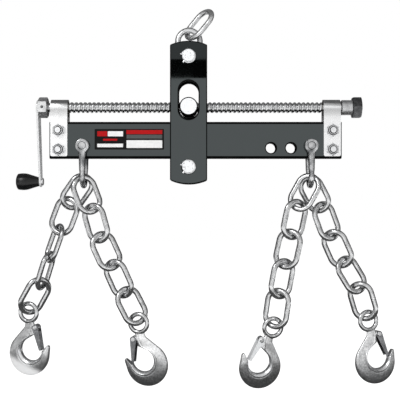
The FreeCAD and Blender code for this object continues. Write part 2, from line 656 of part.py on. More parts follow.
def shackle(x):
    """A D-shackle in the YZ plane: bow, two legs and a bored ear on each."""
    centre = Vec(x, 0, BOW_CENTRE_Z)
    section = Part.Face(Part.Wire(Part.makeCircle(SHACKLE_WIRE / 2, centre + Vec(0, BOW_RADIUS, 0), Z_AXIS)))
    bow = section.revolve(centre, X_AXIS, -180)
    pieces, bores = [], []
    for side in (-1, 1):
        foot = centre + Vec(0, side * BOW_RADIUS, 0)
        pieces.append(cylinder(SHACKLE_WIRE, foot, Vec(x, foot.y, SHACKLE_PIN_Z)))
        inner = Vec(x, side * SHACKLE_JAW / 2, SHACKLE_PIN_Z)
        outer = inner + Vec(0, side * SHACKLE_WIRE, 0)
        ear = cylinder(SHACKLE_EAR_DIAMETER, inner, outer)
        pieces.append(ear.makeChamfer(HEX_CHAMFER / 2, full_circles(ear)))
        bores.append(cylinder(SHACKLE_PIN_DIAMETER + 2 * FIT_GAP, inner, outer))
    return fused(bow, *pieces).cut(bores)


def shackle_pin(x):
    """A screw pin, flush at the front and with a collar and a flat eye behind."""
    front = Vec(x, -SHACKLE_JAW / 2 - SHACKLE_WIRE, SHACKLE_PIN_Z)
    seat = Vec(x, SHACKLE_JAW / 2 + SHACKLE_WIRE, SHACKLE_PIN_Z)
    shank = cylinder(SHACKLE_PIN_DIAMETER, front, seat)
    shank = shank.makeChamfer(HEX_CHAMFER / 2, front_rims(shank))
    collar_end = seat + Vec(0, SHACKLE_PIN_COLLAR_LENGTH, 0)
    collar = cylinder(SHACKLE_PIN_COLLAR, seat, collar_end)
    eye_middle = collar_end + Vec(0, SHACKLE_PIN_EYE / 2 - 1, 0)
    half = Vec(SHACKLE_PIN_EYE_THICKNESS / 2, 0, 0)
    eye = cylinder(SHACKLE_PIN_EYE, eye_middle - half, eye_middle + half)
    hole = cylinder(SHACKLE_PIN_EYE_HOLE, eye_middle - half, eye_middle + half)
    return fused(shank, collar, eye.cut(hole))


def tangent_point(point, centre, radius):
    """Where a line from a point touches a circle on its left, in the XZ plane."""
    line = point - centre
    angle = math.atan2(line.z, line.x) + math.acos(radius / line.Length)
    return centre + Vec(math.cos(angle), 0, math.sin(angle)) * radius


def below_level(angle):
    """The direction in the XZ plane at an angle below +X."""
    return Vec(math.cos(math.radians(angle)), 0, -math.sin(math.radians(angle)))


def hook_outline():
    """The forged hook's outline below its eye, opening towards +X."""
    back = Vec(HOOK_BACK_ACROSS, 0, -HOOK_BACK_DROP)
    bowl = Vec(HOOK_BOWL_ACROSS, 0, -HOOK_BOWL_DROP)
    neck_left = Vec(-HOOK_NECK_LEFT, 0, -EYE_RADIUS + EYE_WIRE / 2)
    shoulder = Vec(-HOOK_NECK_LEFT, 0, -HOOK_NECK_DROP)
    back_start = tangent_point(shoulder, back, HOOK_BACK_RADIUS)
    back_end = back + below_level(HOOK_BACK_END) * HOOK_BACK_RADIUS
    tip_outer = Vec(TIP_ACROSS, 0, -TIP_DROP)
    tip_inner = tip_outer + Vec(-TIP_WIDTH, 0, TIP_RISE / 2)
    tip_top = tip_outer + Vec(-TIP_WIDTH / 3, 0, TIP_RISE)
    bowl_start = bowl + below_level(HOOK_BOWL_START) * HOOK_BOWL_RADIUS
    throat = Vec(HOOK_THROAT_ACROSS, 0, -HOOK_THROAT_DROP)
    bowl_end = tangent_point(throat, bowl, HOOK_BOWL_RADIUS)
    neck_right = Vec(HOOK_NECK_RIGHT, 0, neck_left.z)
    edges = [
        Part.LineSegment(neck_left, shoulder),
        Part.LineSegment(shoulder, back_start),
        Part.Arc(back_start, back - Z_AXIS * HOOK_BACK_RADIUS, back_end),
        Part.LineSegment(back_end, tip_outer),
        Part.Arc(tip_outer, tip_top, tip_inner),
        Part.LineSegment(tip_inner, bowl_start),
        Part.Arc(bowl_start, bowl - Z_AXIS * HOOK_BOWL_RADIUS, bowl_end),
        Part.LineSegment(bowl_end, throat),
        Part.LineSegment(throat, neck_right),
        Part.LineSegment(neck_right, neck_left),
    ]
    return Part.Wire([e.toShape() for e in edges])


def hook_body():
    """An eye hook: flat forged body, bevelled edges, slim neck and a boss for the latch."""
    half = Vec(0, HOOK_THICKNESS / 2, 0)
    outline = hook_outline()
    outline.translate(-half)
    body = Part.Face(outline).extrude(half * 2)
    inner = []
    for edge in body.Edges:
        middle = edge.valueAt((edge.FirstParameter + edge.LastParameter) / 2)
        flat = edge.BoundBox.YLength < FIT_GAP
        from_bowl = (Vec(middle.x, 0, middle.z) - Vec(HOOK_BOWL_ACROSS, 0, -HOOK_BOWL_DROP)).Length
        if flat and from_bowl < HOOK_BOWL_RADIUS + FIT_GAP:
            inner.append(edge)
    body = body.makeChamfer(HOOK_BEVEL, inner)
    taper = [
        (HOOK_NECK_THICKNESS / 2, 0), (HOOK_NECK_THICKNESS / 2, -HOOK_TAPER_START),
        (HOOK_THICKNESS / 2, -HOOK_TAPER_END), (HOOK_THICKNESS / 2, -HOOK_BACK_DROP - HOOK_BACK_RADIUS),
    ]
    sides = [Vec(-HOOK_BACK_RADIUS * 2, y, z) for y, z in taper]
    sides += [Vec(-HOOK_BACK_RADIUS * 2, -y, z) for y, z in reversed(taper)]
    wedge = Part.Face(Part.makePolygon(sides + sides[:1])).extrude(Vec(HOOK_BACK_RADIUS * 4, 0, 0))
    body = body.common(wedge)
    eye = Part.makeTorus(EYE_RADIUS, EYE_WIRE / 2, Vec(0, 0, 0), Y_AXIS)
    pivot = Vec(LATCH_PIVOT_ACROSS, 0, -LATCH_PIVOT_DROP)
    boss_half = Vec(0, HOOK_NECK_THICKNESS / 2, 0)
    boss = cylinder(LATCH_EAR_RADIUS * 2, pivot - boss_half, pivot + boss_half)
    hole = cylinder(RIVET_DIAMETER + 2 * RUN_GAP, pivot - boss_half, pivot + boss_half)
    return fused(body, eye, boss).cut(hole)


def latch():
    """A folded sheet latch: two tapered cheeks beside the boss and a web on the outside."""
    pivot = Vec(LATCH_PIVOT_ACROSS, 0, -LATCH_PIVOT_DROP)
    y = LATCH_OUTER / 2
    ear = LATCH_EAR_RADIUS

    def at(across, drop):
        return pivot + Vec(across, -y, -drop)

    outline = Part.Wire([
        Part.LineSegment(at(-ear, 0), at(ear - LATCH_END_WIDTH, LATCH_LENGTH)).toShape(),
        Part.LineSegment(at(ear - LATCH_END_WIDTH, LATCH_LENGTH), at(ear, LATCH_LENGTH)).toShape(),
        Part.LineSegment(at(ear, LATCH_LENGTH), at(ear, 0)).toShape(),
        Part.Arc(at(ear, 0), at(0, -ear), at(-ear, 0)).toShape(),
    ])
    block = Part.Face(outline).extrude(Vec(0, LATCH_OUTER, 0))
    across = Vec(0, LATCH_OUTER / 2, 0)
    hollow = Part.makeBox(ear * 2 - LATCH_SHEET, LATCH_INNER, LATCH_LENGTH + ear * 2,
                          pivot + Vec(-ear, -LATCH_INNER / 2, -LATCH_LENGTH))
    head_room = Part.makeBox(ear * 2, LATCH_INNER, LATCH_WEB_DROP + ear * 2,
                             pivot + Vec(-ear, -LATCH_INNER / 2, -LATCH_WEB_DROP))
    hole = cylinder(RIVET_DIAMETER + 2 * FIT_GAP, pivot - across, pivot + across)
    folded = block.cut([hollow, head_room, hole])
    folded.rotate(pivot, Y_AXIS, -LATCH_LEAN)
    return folded


def latch_rivet():
    pivot = Vec(LATCH_PIVOT_ACROSS, 0, -LATCH_PIVOT_DROP)
    half = Vec(0, LATCH_OUTER / 2 + RUN_GAP, 0)
    head = Vec(0, RIVET_HEAD_HEIGHT, 0)
    shank = cylinder(RIVET_DIAMETER, pivot - half, pivot + half)
    heads = []
    for side in (-1, 1):
        seat = pivot + half * side
        disc = cylinder(RIVET_HEAD_DIAMETER, seat, seat + head * side)
        rims = [e for e in full_circles(disc) if abs(e.BoundBox.YMin) > abs(seat.y) + RUN_GAP]
        heads.append(disc.makeChamfer(RIVET_HEAD_HEIGHT / 2, rims))
    return fused(shank, *heads)


def wire_points(centre, up, across, half, bend):
    """Wire-centre points round an oval piece of a chain: two half turns and the legs between them."""
    leg = half - bend
    turns = [math.pi * i / ARC_STEPS for i in range(2 * ARC_STEPS)]
    points = []
    for turn in turns:
        side = 1 if turn < math.pi else -1
        points.append(centre + across * (bend * math.cos(turn)) + up * (bend * math.sin(turn) + side * leg))
    heights = [leg * (2 * i / LEG_STEPS - 1) for i in range(1, LEG_STEPS)]
    points += [centre + across * (side * bend) + up * height for side in (-1, 1) for height in heights]
    return points


def settled(above, reach, start, direction, points_at):
    """The shortest drop from start at which a bend's wire centre keeps its distance to the one above."""
    least, most = 0.0, MOST_PLAY
    for _ in range(PLAY_STEPS):
        play = (least + most) / 2
        points = points_at(start + direction * play)
        if min((p - q).Length for p in points for q in above) < reach + TOUCH_GAP:
            least = play
        else:
            most = play
    return start + direction * most


def bow_contact(chain):
    """The bow's wire centre that a chain hangs on, and the direction from it to the first link's wire."""
    reach = (SHACKLE_WIRE + WIRE) / 2
    sine = chain["side"] * SLING_SPREAD / (BOW_RADIUS - reach)
    cosine = math.sqrt(1 - sine * sine)
    contact = Vec(SHACKLE_X[chain["shackle"]], BOW_RADIUS * sine, BOW_CENTRE_Z - BOW_RADIUS * cosine)
    up = upward(chain["hang"])
    return contact, Vec(up.x, -sine * up.z, cosine * up.z), reach


def chain_places(chain):
    """The joint point and the centre of each link and of the hook's eye, from the bow down."""
    steps = [
        (lean, roll, LINK_HALF, BEND_RADIUS, WIRE) for lean, roll in zip(chain["leans"], chain["rolls"])
    ]
    steps.append((chain["hook_lean"], chain["hook_roll"], EYE_RADIUS, EYE_RADIUS, EYE_WIRE))
    contact, direction, reach = bow_contact(chain)
    bow_centre = Vec(SHACKLE_X[chain["shackle"]], 0, BOW_CENTRE_Z)
    above = wire_points(bow_centre, Z_AXIS, Y_AXIS, BOW_RADIUS, BOW_RADIUS)
    places = []
    for i, (lean, roll, half, bend, wire) in enumerate(steps):
        up = upward(lean)
        across = turned_by(lean, roll).multVec(X_AXIS)
        to_centre = up * half
        if i == 0:
            to_centre = upward(chain["hang"]) * bend + up * (half - bend)
        else:
            direction = (upward(steps[i - 1][0]) + up).normalize()
            reach = (WIRE + wire) / 2

        def points_at(top):
            return wire_points(top - to_centre, up, across, half, bend)

        top = settled(above, reach, contact + direction * reach, direction, points_at)
        above = points_at(top)
        places.append((contact, top - to_centre))
        contact = top - to_centre - up * half
    return places


def chains():
    link = chain_link(LINK_INNER_LENGTH)
    pieces = {"hook": hook_body(), "latch": latch(), "latch_rivet": latch_rivet()}
    out = {}
    for name, chain in CHAINS.items():
        places = chain_places(chain)
        for i, (lean, roll) in enumerate(zip(chain["leans"], chain["rolls"])):
            out[f"{name}_link_{i + 1}"] = placed(link, places[i][1], lean, roll)
        turn = chain["hook_roll"] + (0 if chain["opens"] > 0 else 180)
        for kind, shape in pieces.items():
            out[f"{name}_{kind}"] = placed(shape, places[-1][1], chain["hook_lean"], turn)
    return out


def all_nodes():
    nodes = {}
    nodes.update(lifting_links())
    nodes.update(carriage())
    nodes.update(beam_group())
    nodes.update(screw_group())
    for side, x in SHACKLE_X.items():
        nodes[f"{side}_shackle"] = shackle(x)
        nodes[f"{side}_shackle_pin"] = shackle_pin(x)
    nodes.update(chains())
    return nodes


NODES = all_nodes()
os.makedirs("parts", exist_ok=True)
for node, shape in NODES.items():
    shape.exportStep(f"parts/{node}.step")
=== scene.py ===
import json
import math

import bmesh
import bpy
from mathutils import Matrix, Vector


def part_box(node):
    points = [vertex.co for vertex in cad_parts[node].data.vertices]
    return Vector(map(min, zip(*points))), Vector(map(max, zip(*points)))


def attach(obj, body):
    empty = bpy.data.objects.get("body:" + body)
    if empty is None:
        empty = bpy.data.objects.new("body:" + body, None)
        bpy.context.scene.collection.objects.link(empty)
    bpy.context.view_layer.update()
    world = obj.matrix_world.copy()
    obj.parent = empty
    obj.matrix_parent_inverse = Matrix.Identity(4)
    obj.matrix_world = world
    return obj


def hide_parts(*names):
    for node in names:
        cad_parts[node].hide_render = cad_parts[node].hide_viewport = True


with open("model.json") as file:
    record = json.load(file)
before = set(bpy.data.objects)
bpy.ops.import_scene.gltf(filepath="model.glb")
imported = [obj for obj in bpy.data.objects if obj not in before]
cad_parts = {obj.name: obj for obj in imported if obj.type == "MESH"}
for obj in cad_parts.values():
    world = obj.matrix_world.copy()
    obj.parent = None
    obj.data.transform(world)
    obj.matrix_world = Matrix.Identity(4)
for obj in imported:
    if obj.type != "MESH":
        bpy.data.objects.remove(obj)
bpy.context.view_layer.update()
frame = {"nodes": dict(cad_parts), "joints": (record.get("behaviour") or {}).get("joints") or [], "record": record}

NODES = frame["nodes"]
JOINTS = {joint["name"]: joint for joint in frame["joints"]}
MOUNTS = {mount["name"]: mount for mount in frame["record"]["mounts"]}
SLOTS = {part["node"]: part["material_slot"] for part in frame["record"]["subparts"]}
BODY_OF = {node: body for body, nodes in frame["record"]["behaviour"]["bodies"].items() for node in nodes}
MM = 0.001
X_AXIS, Y_AXIS, Z_AXIS = Vector((1, 0, 0)), Vector((0, 1, 0)), Vector((0, 0, 1))
CHAINS = ("left_outer", "left_inner", "right_inner", "right_outer")
LINKS_PER_CHAIN = 5

# The finish of a solid that stays in view, where its slot doesn't give it
SOLID_FINISHES = {
    "top_pin": "pitted_end", "lower_pin": "pitted_end",
    "left_end_bracket": "shaded_strap_zinc", "right_end_bracket": "shaded_strap_zinc",
    "crank_hub": "turned_steel", "thrust_collar": "turned_steel",
    "roll_pins": "black_oxide", "crank_arm": "arm_zinc",
    "left_shackle_pin": "dark_forging", "right_shackle_pin": "dark_forging",
    # The right inner latch takes the bright ground finish, a painted reflection on its face
    "right_inner_latch": "polished_end",
}
SLOT_FINISHES = {"bronze": "bush_bronze", "galvanised_steel": "galvanised_wire"}

# Links, in metres. The coat is zinc that runs over the outside of the wire, thin where the shackle is close
WIRE = 8.6 * MM
WIRE_COAT = 0.7 * MM
FIRST_LINK_COAT = WIRE_COAT / 3
LINK_INNER_WIDTH = 27.3 * MM
LINK_INNER_LENGTH = 50.7 * MM
UPPER_INNER_LENGTH = 45.5 * MM
LOWER_INNER_LENGTH = 52.7 * MM
# The swelling at the weld and the groove in it, each a share of the wire and a reach along it
WELD_SWELL, WELD_REACH = 0.075, 2.6 * MM
GROOVE_DEPTH, GROOVE_REACH = 0.11, 0.55 * MM

# Lead screw, in metres; the root's flat and the flank are shares of half the pitch
SCREW_RADIUS = 8.9 * MM
SCREW_ROOT_RADIUS = 7.0 * MM
JOURNAL_RADIUS = 7.5 * MM
SCREW_PITCH = 7.4 * MM
ROOT_FLAT, FLANK = 0.14, 0.58
SCREW_CHAMFER = 0.6 * MM
THREAD_RUNOUT = 1.2 * MM
THREAD_FADE = 2 * MM
BRACKET_GAP = 0.3 * MM

# The hook in its own plane, in millimetres from the centre of its eye: points are across and up
EYE_RADIUS = 14.6
EYE_WIRE = 6.6
EYE_COAT = 0.85
HOOK_BOWL, HOOK_BOWL_RADIUS = (0.5, -61.5), 19.0
HOOK_BACK, HOOK_BACK_RADIUS = (-5.0, -69.0), 36.0
HOOK_NECK_TOP, HOOK_SHOULDER, HOOK_BACK_TURN = (-6.0, -12.6), (-9.0, -23.5), 152.0
HOOK_NECK_FRONT, HOOK_NECK_LEVEL, HOOK_THROAT = (8.0, -12.6), (9.0, -25.0), (8.0, -37.0)
HOOK_BACK_END, HOOK_BOWL_START = -8.0, -13.0
TIP_OUTER, TIP_INNER = (33.5, -60.0), (27.5, -58.0)
TIP_ENDS = (32.4, -57.0), (29.6, -56.4)
HOOK_PIVOT = (11.9, -25.5)
PIVOT_BOSS_RADIUS, BOSS_CHAMFER = 5.4, 0.4
HOOK_NECK_THICKNESS, HOOK_THICKNESS = 8.4, 14.0
# The drop where the neck starts to thicken, and the drop over which it does
THICKENING_START, THICKENING_RUN = 36.0, 24.0
# The share of the thickness left at the tip and at the eye, and what each ring away from there gains
TIP_SHARE, TIP_GAIN = 0.58, 0.042
NECK_SHARE, NECK_GAIN = 0.62, 0.08
# Half of a section: how far it is from the bowl to the back, and the share of half the thickness there
HOOK_HALF_SECTION = [
    (0.0, 0.14), (0.005, 0.4), (0.04, 0.6), (0.18, 0.98), (0.2, 1.0),
    (0.22, 0.98), (0.245, 0.82), (0.275, 0.81), (0.31, 0.9), (0.5, 0.85),
    (0.72, 0.75), (0.88, 0.62), (0.95, 0.48), (0.985, 0.32), (1.0, 0.12),
]
# How far past the eye the wire's finish reaches, and past the bowl the rim's painted highlight
EYE_MARGIN, BOWL_RIM_HIGHLIGHT = 1.0, 3.9
# Where those two stand in a hook's list of finishes, and the chain whose hook carries a painted highlight, pale
# under its bowl
EYE_FINISH, RIM_HIGHLIGHT_FINISH = 1, 2
HIGHLIT_HOOK = "left_outer"
# Steps along the neck, the shoulder, the throat, the bowl, the tip and its end, alike on both sides
HOOK_STEPS = (4, 6, 6, 48, 8, 2)

# Soft edges of the forgings: voxel in metres and smoothing passes
HOOK_VOXEL, HOOK_PASSES = 0.55 * MM, 6
SHACKLE_VOXEL, SHACKLE_PASSES = 0.6 * MM, 2
SMOOTHING = 0.5
# The width of a shackle's lug against the bar's, by millimetres below the pin
LUG_WIDTHS = [(8.5, 1.0), (11.0, 1.4), (14.0, 1.36), (26.0, 1.2), (36.0, 1.14), (45.0, 1.0)]

# Edges that the saw or the press left with a small radius, in metres
EDGE_RADII = {
    "crank_arm": 0.6 * MM, "left_end_bracket": 0.5 * MM, "right_end_bracket": 0.5 * MM,
    "lower_roller": 0.5 * MM,
}
PLATE_EDGE_RADIUS = 1.8 * MM
TRUNNION_CHAMFER = 0.8 * MM
EDGE_SEGMENTS, EDGE_PROFILE = 3, 0.5
MERGE_DISTANCE = 0.002 * MM
LEVEL_TOLERANCE = 0.01 * MM
FLAT_ANGLE, SHARP_ANGLE = math.radians(0.5), math.radians(40)
# How far a normal lies along Y on a bar's face, on the trunnion's end and, at the most, on its side
BAR_FACE, TRUNNION_END, TRUNNION_SIDE = 0.999, 0.99, 0.2

# Rings of the lock nuts and bolts in millimetres: depth from the back, radius, and the flats that cut it;
# then which bands between them are dark: painted shade on the hexagon's chamfer, in the crease at the collar's
# foot and in the gap round the bolt's end
NUT_RINGS = [
    (0.0, 11.0, 18.5), (6.8, 10.6, 18.5), (8.0, 9.5, 18.5), (8.0, 8.6, None), (8.0, 7.5, None),
    (10.4, 7.4, None), (11.0, 6.9, None), (11.0, 6.3, None), (10.4, 6.1, None), (0.0, 6.1, None),
]
SHADED_NUT_BANDS = (1, 3, 4, 7, 8)
BOLT_HEAD_RINGS = [(0.0, 9.6, 18.0), (0.7, 10.4, 18.0), (7.5, 10.4, 18.0), (7.5, 6.0, None)]
BOLT_END_RINGS = [(-1.5, 6.0, None), (0.0, 4.7, None)]
SHADED_BOLT_BANDS = (3, 4)

# Blank printed film on the beam: left, right, base and top in millimetres from the beam's lower left corner
STICKER_FILM = (74.6, 189.1, 14.7, 48.7)
STICKER_FIELDS = [
    ("film_red", (127.0, 186.4, 40.2, 46.9)),
    ("film_grey", (127.4, 186.2, 32.9, 39.2)),
    ("film_white", (127.4, 186.2, 17.4, 30.2)),
    ("film_red", (79.0, 95.6, 36.6, 45.0)),
    ("film_white", (96.4, 121.6, 36.6, 45.0)),
    ("film_red", (88.6, 112.0, 29.4, 32.6)),
    ("film_white", (79.0, 121.6, 18.6, 24.4)),
]
FILM_CORNER, FIELD_CORNER = 1.2 * MM, 0.3 * MM
FILM_HEIGHT, FIELD_HEIGHT, FILM_SINK = 0.12 * MM, 0.16 * MM, 0.02 * MM
CORNER_STEPS = 6

# The camera, from the top pin's axis
CAMERA_FROM_PIN = Vector((18.7, -1310.0, -235.4)) * MM
CAMERA_LENS, CAMERA_SENSOR = 70.9, 36.0

# The studio, in metres. Each card has its place, its half sides and its level; the ones in front of the part
# stand upright and are placed from the top pin's axis
WORLD_LIGHT, WORLD_WHITE = 0.55, 1.0
FLOOR_Z, FLOOR_HALF = -0.68, 6
FLOOR_TONE, FLOOR_ROUGHNESS, FLOOR_GLOW = 0.9, 0.9, 0.55
ROOM_CARDS = [
    ("floor_card", (0, 0.17, FLOOR_Z + 0.02), (1.0, 0, 0), (0, 0.53, 0), 0.10),
    ("ceiling_card", (0, 0.6, 1.5), (2.4, 0, 0), (0, 1.7, 0), 0.22),
    ("back_card", (0, 2.2, 0.4), (2.4, 0, 0), (0, 0, 1.1), 0.10),
    ("left_card", (-2.3, 0.8, 0.4), (0, 1.4, 0), (0, 0, 1.1), 0.10),
    ("right_card", (2.3, 0.8, 0.4), (0, 1.4, 0), (0, 0, 1.1), 0.10),
]
FRONT_CARDS = [
    ("left_grey_card", (-0.95, -1.36, 0.2), 0.27, 1.0, 0.55),
    ("left_dim_card", (-1.91, -1.36, 0.2), 0.69, 1.0, 0.3),
    ("right_grey_card", (0.95, -1.36, 0.2), 0.27, 1.0, 0.55),
    ("right_dim_card", (1.91, -1.36, 0.2), 0.69, 1.0, 0.3),
    ("upper_card", (0, -1.36, 0.95), 0.68, 0.45, 0.75),
    ("left_strip", (-0.80, -1.34, 0.0), 0.07, 0.6, 3.2),
    ("right_strip", (0.98, -1.34, 0.0), 0.07, 0.6, 2.4),
    ("dark_bar", (-0.0188, -1.31, 0.1944), 0.12, 0.031, 0.0),
    ("dim_card", (-0.0188, -1.31, 0.2654), 0.12, 0.040, 0.4),
]
# Each lamp's place, size and power, and whether it shows in reflections
LAMPS = [
    ("key", (-0.8, -1.3, 0.7), 0.5, 8, True),
    ("fill", (1.2, -1.6, 0.1), 1.0, 8, False),
    ("rear", (0.8, 1.5, 0.6), 0.8, 5, False),
]
LAMP_TARGET = (0, 0, -0.3)

# The span of a noise that a finish spreads out, unless it says otherwise
NOISE_START, NOISE_END = 0.35, 0.65
# Painted shade and highlight of a strap, from below the screw's axis to above it: share of that height, and grey;
# dark over the crest, a bright band at the axis, grey below it
STRAP_SHADING_BELOW, STRAP_SHADING_ABOVE = 24 * MM, 14 * MM
STRAP_PAINTED_TONES = [
    (0.0, 0.9), (0.18, 0.86), (0.34, 0.66), (0.5, 0.54), (0.57, 0.64),
    (0.62, 0.88), (0.66, 0.82), (0.72, 0.5), (0.86, 0.4), (1.0, 0.46),
]
STRAP_TINT = (1.0, 1.003, 1.006)
# The painted highlight in the pale hook's tone fades along this direction, from a base this far into the hook and
# over this reach
HIGHLIGHT_ACROSS, HIGHLIGHT_UP = 0.42, 0.91
HIGHLIGHT_INSET, HIGHLIGHT_REACH = 18 * MM, 70 * MM
# How softly a speck ends in its noise, and how dark an ink's mottle is against its colour
SPECK_EDGE, INK_MOTTLE = 0.08, 0.94


class Finish:
    """A procedural material that is built up node by node round one Principled shader."""

    def __init__(self, name, metallic):
        self.name = name
        self.material = bpy.data.materials.new(name)
        self.material.use_nodes = True
        self.nodes = self.material.node_tree.nodes
        self.links = self.material.node_tree.links
        self.shader = self.nodes["Principled BSDF"]
        self.set("Metallic", metallic)

    def set(self, socket, value):
        """Gives a socket of the shader one value all over."""
        self.shader.inputs[socket].default_value = value

    def feed(self, value, socket):
        """Links a value to a socket of the shader."""
        self.links.new(value, self.shader.inputs[socket])

    def place(self, coordinates):
        """The place of a point in the named coordinates."""
        return self.nodes.new("ShaderNodeTexCoord").outputs[coordinates]

    def height(self, coordinates):
        """The height of a point in the named coordinates."""
        split = self.nodes.new("ShaderNodeSeparateXYZ")
        self.links.new(self.place(coordinates), split.inputs["Vector"])
        return split.outputs["Z"]

    def noise(self, scale, detail, stretch=(1, 1, 1), coordinates="Object"):
        """A noise value in 0 to 1 whose grain is scale per metre, or per unit of UV."""
        mapping = self.nodes.new("ShaderNodeMapping")
        mapping.inputs["Scale"].default_value = stretch
        texture = self.nodes.new("ShaderNodeTexNoise")
        texture.inputs["Scale"].default_value = scale
        texture.inputs["Detail"].default_value = detail
        self.links.new(self.place(coordinates), mapping.inputs["Vector"])
        self.links.new(mapping.outputs["Vector"], texture.inputs["Vector"])
        return texture.outputs["Fac"]

    def spread(self, value, low, high, start=NOISE_START, end=NOISE_END):
        """A value mapped so that start to end covers low to high."""
        ranged = self.nodes.new("ShaderNodeMapRange")
        for name, number in zip(("From Min", "From Max", "To Min", "To Max"), (start, end, low, high)):
            ranged.inputs[name].default_value = number
        self.links.new(value, ranged.inputs["Value"])
        return ranged.outputs["Result"]

    def tones(self, value, stops):
        """Colours the finish by a value, through stops that are a share and a colour."""
        ramp = self.nodes.new("ShaderNodeValToRGB")
        elements = ramp.color_ramp.elements
        for i, (share, colour) in enumerate(stops):
            stop = elements[i] if i < 2 else elements.new(share)
            stop.position, stop.color = share, (*colour, 1.0)
        self.links.new(value, ramp.inputs["Fac"])
        self.feed(ramp.outputs["Color"], "Base Color")

    def colour_between(self, value, dark, light, start=NOISE_START, end=NOISE_END):
        """Colours the finish from dark to light; the socket keeps the middle, for viewers without nodes."""
        self.set("Base Color", (*((a + b) / 2 for a, b in zip(dark, light)), 1.0))
        self.tones(value, [(start, dark), (end, light)])

    def roughness_between(self, value, low, high):
        """Varies the roughness; the socket keeps the middle, for viewers without nodes."""
        self.set("Roughness", (low + high) / 2)
        self.feed(self.spread(value, low, high), "Roughness")

    def bump(self, value, depth):
        """Adds relief of about the given depth in metres."""
        bump = self.nodes.new("ShaderNodeBump")
        bump.inputs["Distance"].default_value = depth
        self.links.new(value, bump.inputs["Height"])
        self.feed(bump.outputs["Normal"], "Normal")


def mottled(name, metallic, tones, roughness, relief=None, specular=None):
    """A finish whose tone, roughness and relief each follow a noise, whose settings come first in each.

    Then tones has the dark and the light colour and, if not the usual ones, where the noise starts and ends
    between them; roughness has the least and the greatest; relief has the depth in metres.
    """
    finish = Finish(name, metallic)
    if specular is not None:
        finish.set("Specular IOR Level", specular)
    finish.colour_between(finish.noise(*tones[0]), *tones[1:])
    finish.roughness_between(finish.noise(*roughness[0]), *roughness[1:])
    if relief:
        finish.bump(finish.noise(*relief[0]), relief[1])
    return finish


def black_paint():
    """Gloss enamel over flat bar: deep black that mirrors the studio, with faint uneven gloss."""
    tones = (40.0, 4.0), (0.0012, 0.0014, 0.0014), (0.002, 0.0024, 0.0024)
    relief = (260.0, 2.0), 0.0004 * MM
    finish = mottled("black_paint", 0.0, tones, ((38.0, 6.0), 0.02, 0.04), relief, specular=0.84)
    finish.set("IOR", 1.585)
    finish.set("Specular Tint", (0.88, 0.985, 1.0, 1.0))
    return finish


def shaded_strap_zinc():
    """Zinc plated strap with light and shade painted into its tone by height: painted shade over the bend round
    the screw, a painted highlight band at the screw's axis, and bright on its flat legs.
    """
    finish = Finish("shaded_strap_zinc", 1.0)
    low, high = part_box("lead_screw")
    axis = (low.z + high.z) / 2
    # The height round the screw's axis sets the painted shade and the painted highlight
    height = finish.spread(finish.height("Object"), 0.0, 1.0, axis - STRAP_SHADING_BELOW, axis + STRAP_SHADING_ABOVE)
    finish.tones(height, [(share, [tone * tint for tint in STRAP_TINT]) for share, tone in STRAP_PAINTED_TONES])
    finish.roughness_between(finish.noise(90.0, 4.0), 0.24, 0.32)
    finish.bump(finish.noise(500.0, 3.0, (1, 1, 0.1)), 0.008 * MM)
    return finish


def galvanised_wire():
    """Drawn and galvanised wire: streaks along its length and cloudy grey patches."""
    finish = Finish("galvanised_wire", 1.0)
    streaks = finish.noise(1.0, 3.0, (5.0, 11.0, 1.0), "UV")
    finish.colour_between(finish.noise(140.0, 6.0), (0.4, 0.405, 0.41), (0.68, 0.685, 0.69), 0.3, 0.7)
    finish.roughness_between(streaks, 0.14, 0.24)
    finish.bump(streaks, 0.05 * MM)
    return finish


def forged_zinc():
    """A galvanised forging: a satin, grainy skin, with painted shade that turns it grey towards the bottom."""
    finish = Finish("forged_zinc", 1.0)
    shade_and_grain = finish.nodes.new("ShaderNodeMath")
    shade_and_grain.operation = "ADD"
    # Height with a little noise: painted shade low on the forging, lighter above
    finish.links.new(finish.height("Generated"), shade_and_grain.inputs[0])
    finish.links.new(finish.spread(finish.noise(330.0, 3.0), -0.16, 0.16), shade_and_grain.inputs[1])
    finish.colour_between(shade_and_grain.outputs["Value"], (0.32, 0.325, 0.33), (0.8, 0.805, 0.81), 0.05, 0.6)
    finish.roughness_between(finish.noise(160.0, 4.0), 0.3, 0.4)
    finish.bump(finish.noise(90.0, 2.0), 0.08 * MM)
    return finish


def painted_highlight_forging():
    """A galvanised forging with a painted highlight: pale and matte under its bowl, grey and metallic up its back.
    """
    finish = Finish("painted_highlight_forging", 1.0)
    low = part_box("left_outer_hook")[0]
    along = finish.nodes.new("ShaderNodeVectorMath")
    along.operation = "DOT_PRODUCT"
    along.inputs[1].default_value = (HIGHLIGHT_ACROSS, 0, HIGHLIGHT_UP)
    finish.links.new(finish.place("Object"), along.inputs[0])
    base = HIGHLIGHT_ACROSS * (low.x + HIGHLIGHT_INSET) + HIGHLIGHT_UP * low.z
    height = finish.spread(along.outputs["Value"], 0.0, 1.0, base, base + HIGHLIGHT_REACH)
    finish.colour_between(height, (0.95, 0.955, 0.96), (0.62, 0.625, 0.63), 0.3, 0.42)
    finish.feed(finish.spread(height, 0.0, 1.0, 0.26, 0.4), "Metallic")
    finish.roughness_between(finish.noise(160.0, 4.0), 0.28, 0.38)
    finish.bump(finish.noise(90.0, 2.0), 0.08 * MM)
    return finish


def polished_end(name, speck, rim):
    """Ground and bright plated bar ends, with dull specks where the noise is under the rim."""
    tones = (330.0, 3.0), speck, (0.95, 0.965, 0.98), rim - SPECK_EDGE, rim
    return mottled(name, 0.35, tones, ((160.0, 4.0), 0.42, 0.55))


def print_ink(name, colour, specular):
    """Printed film, with the slight mottle of the ink."""
    tones = (240.0, 4.0), tuple(c * INK_MOTTLE for c in colour), colour
    return mottled(name, 0.0, tones, ((90.0, 3.0), 0.26, 0.36), specular=specular)


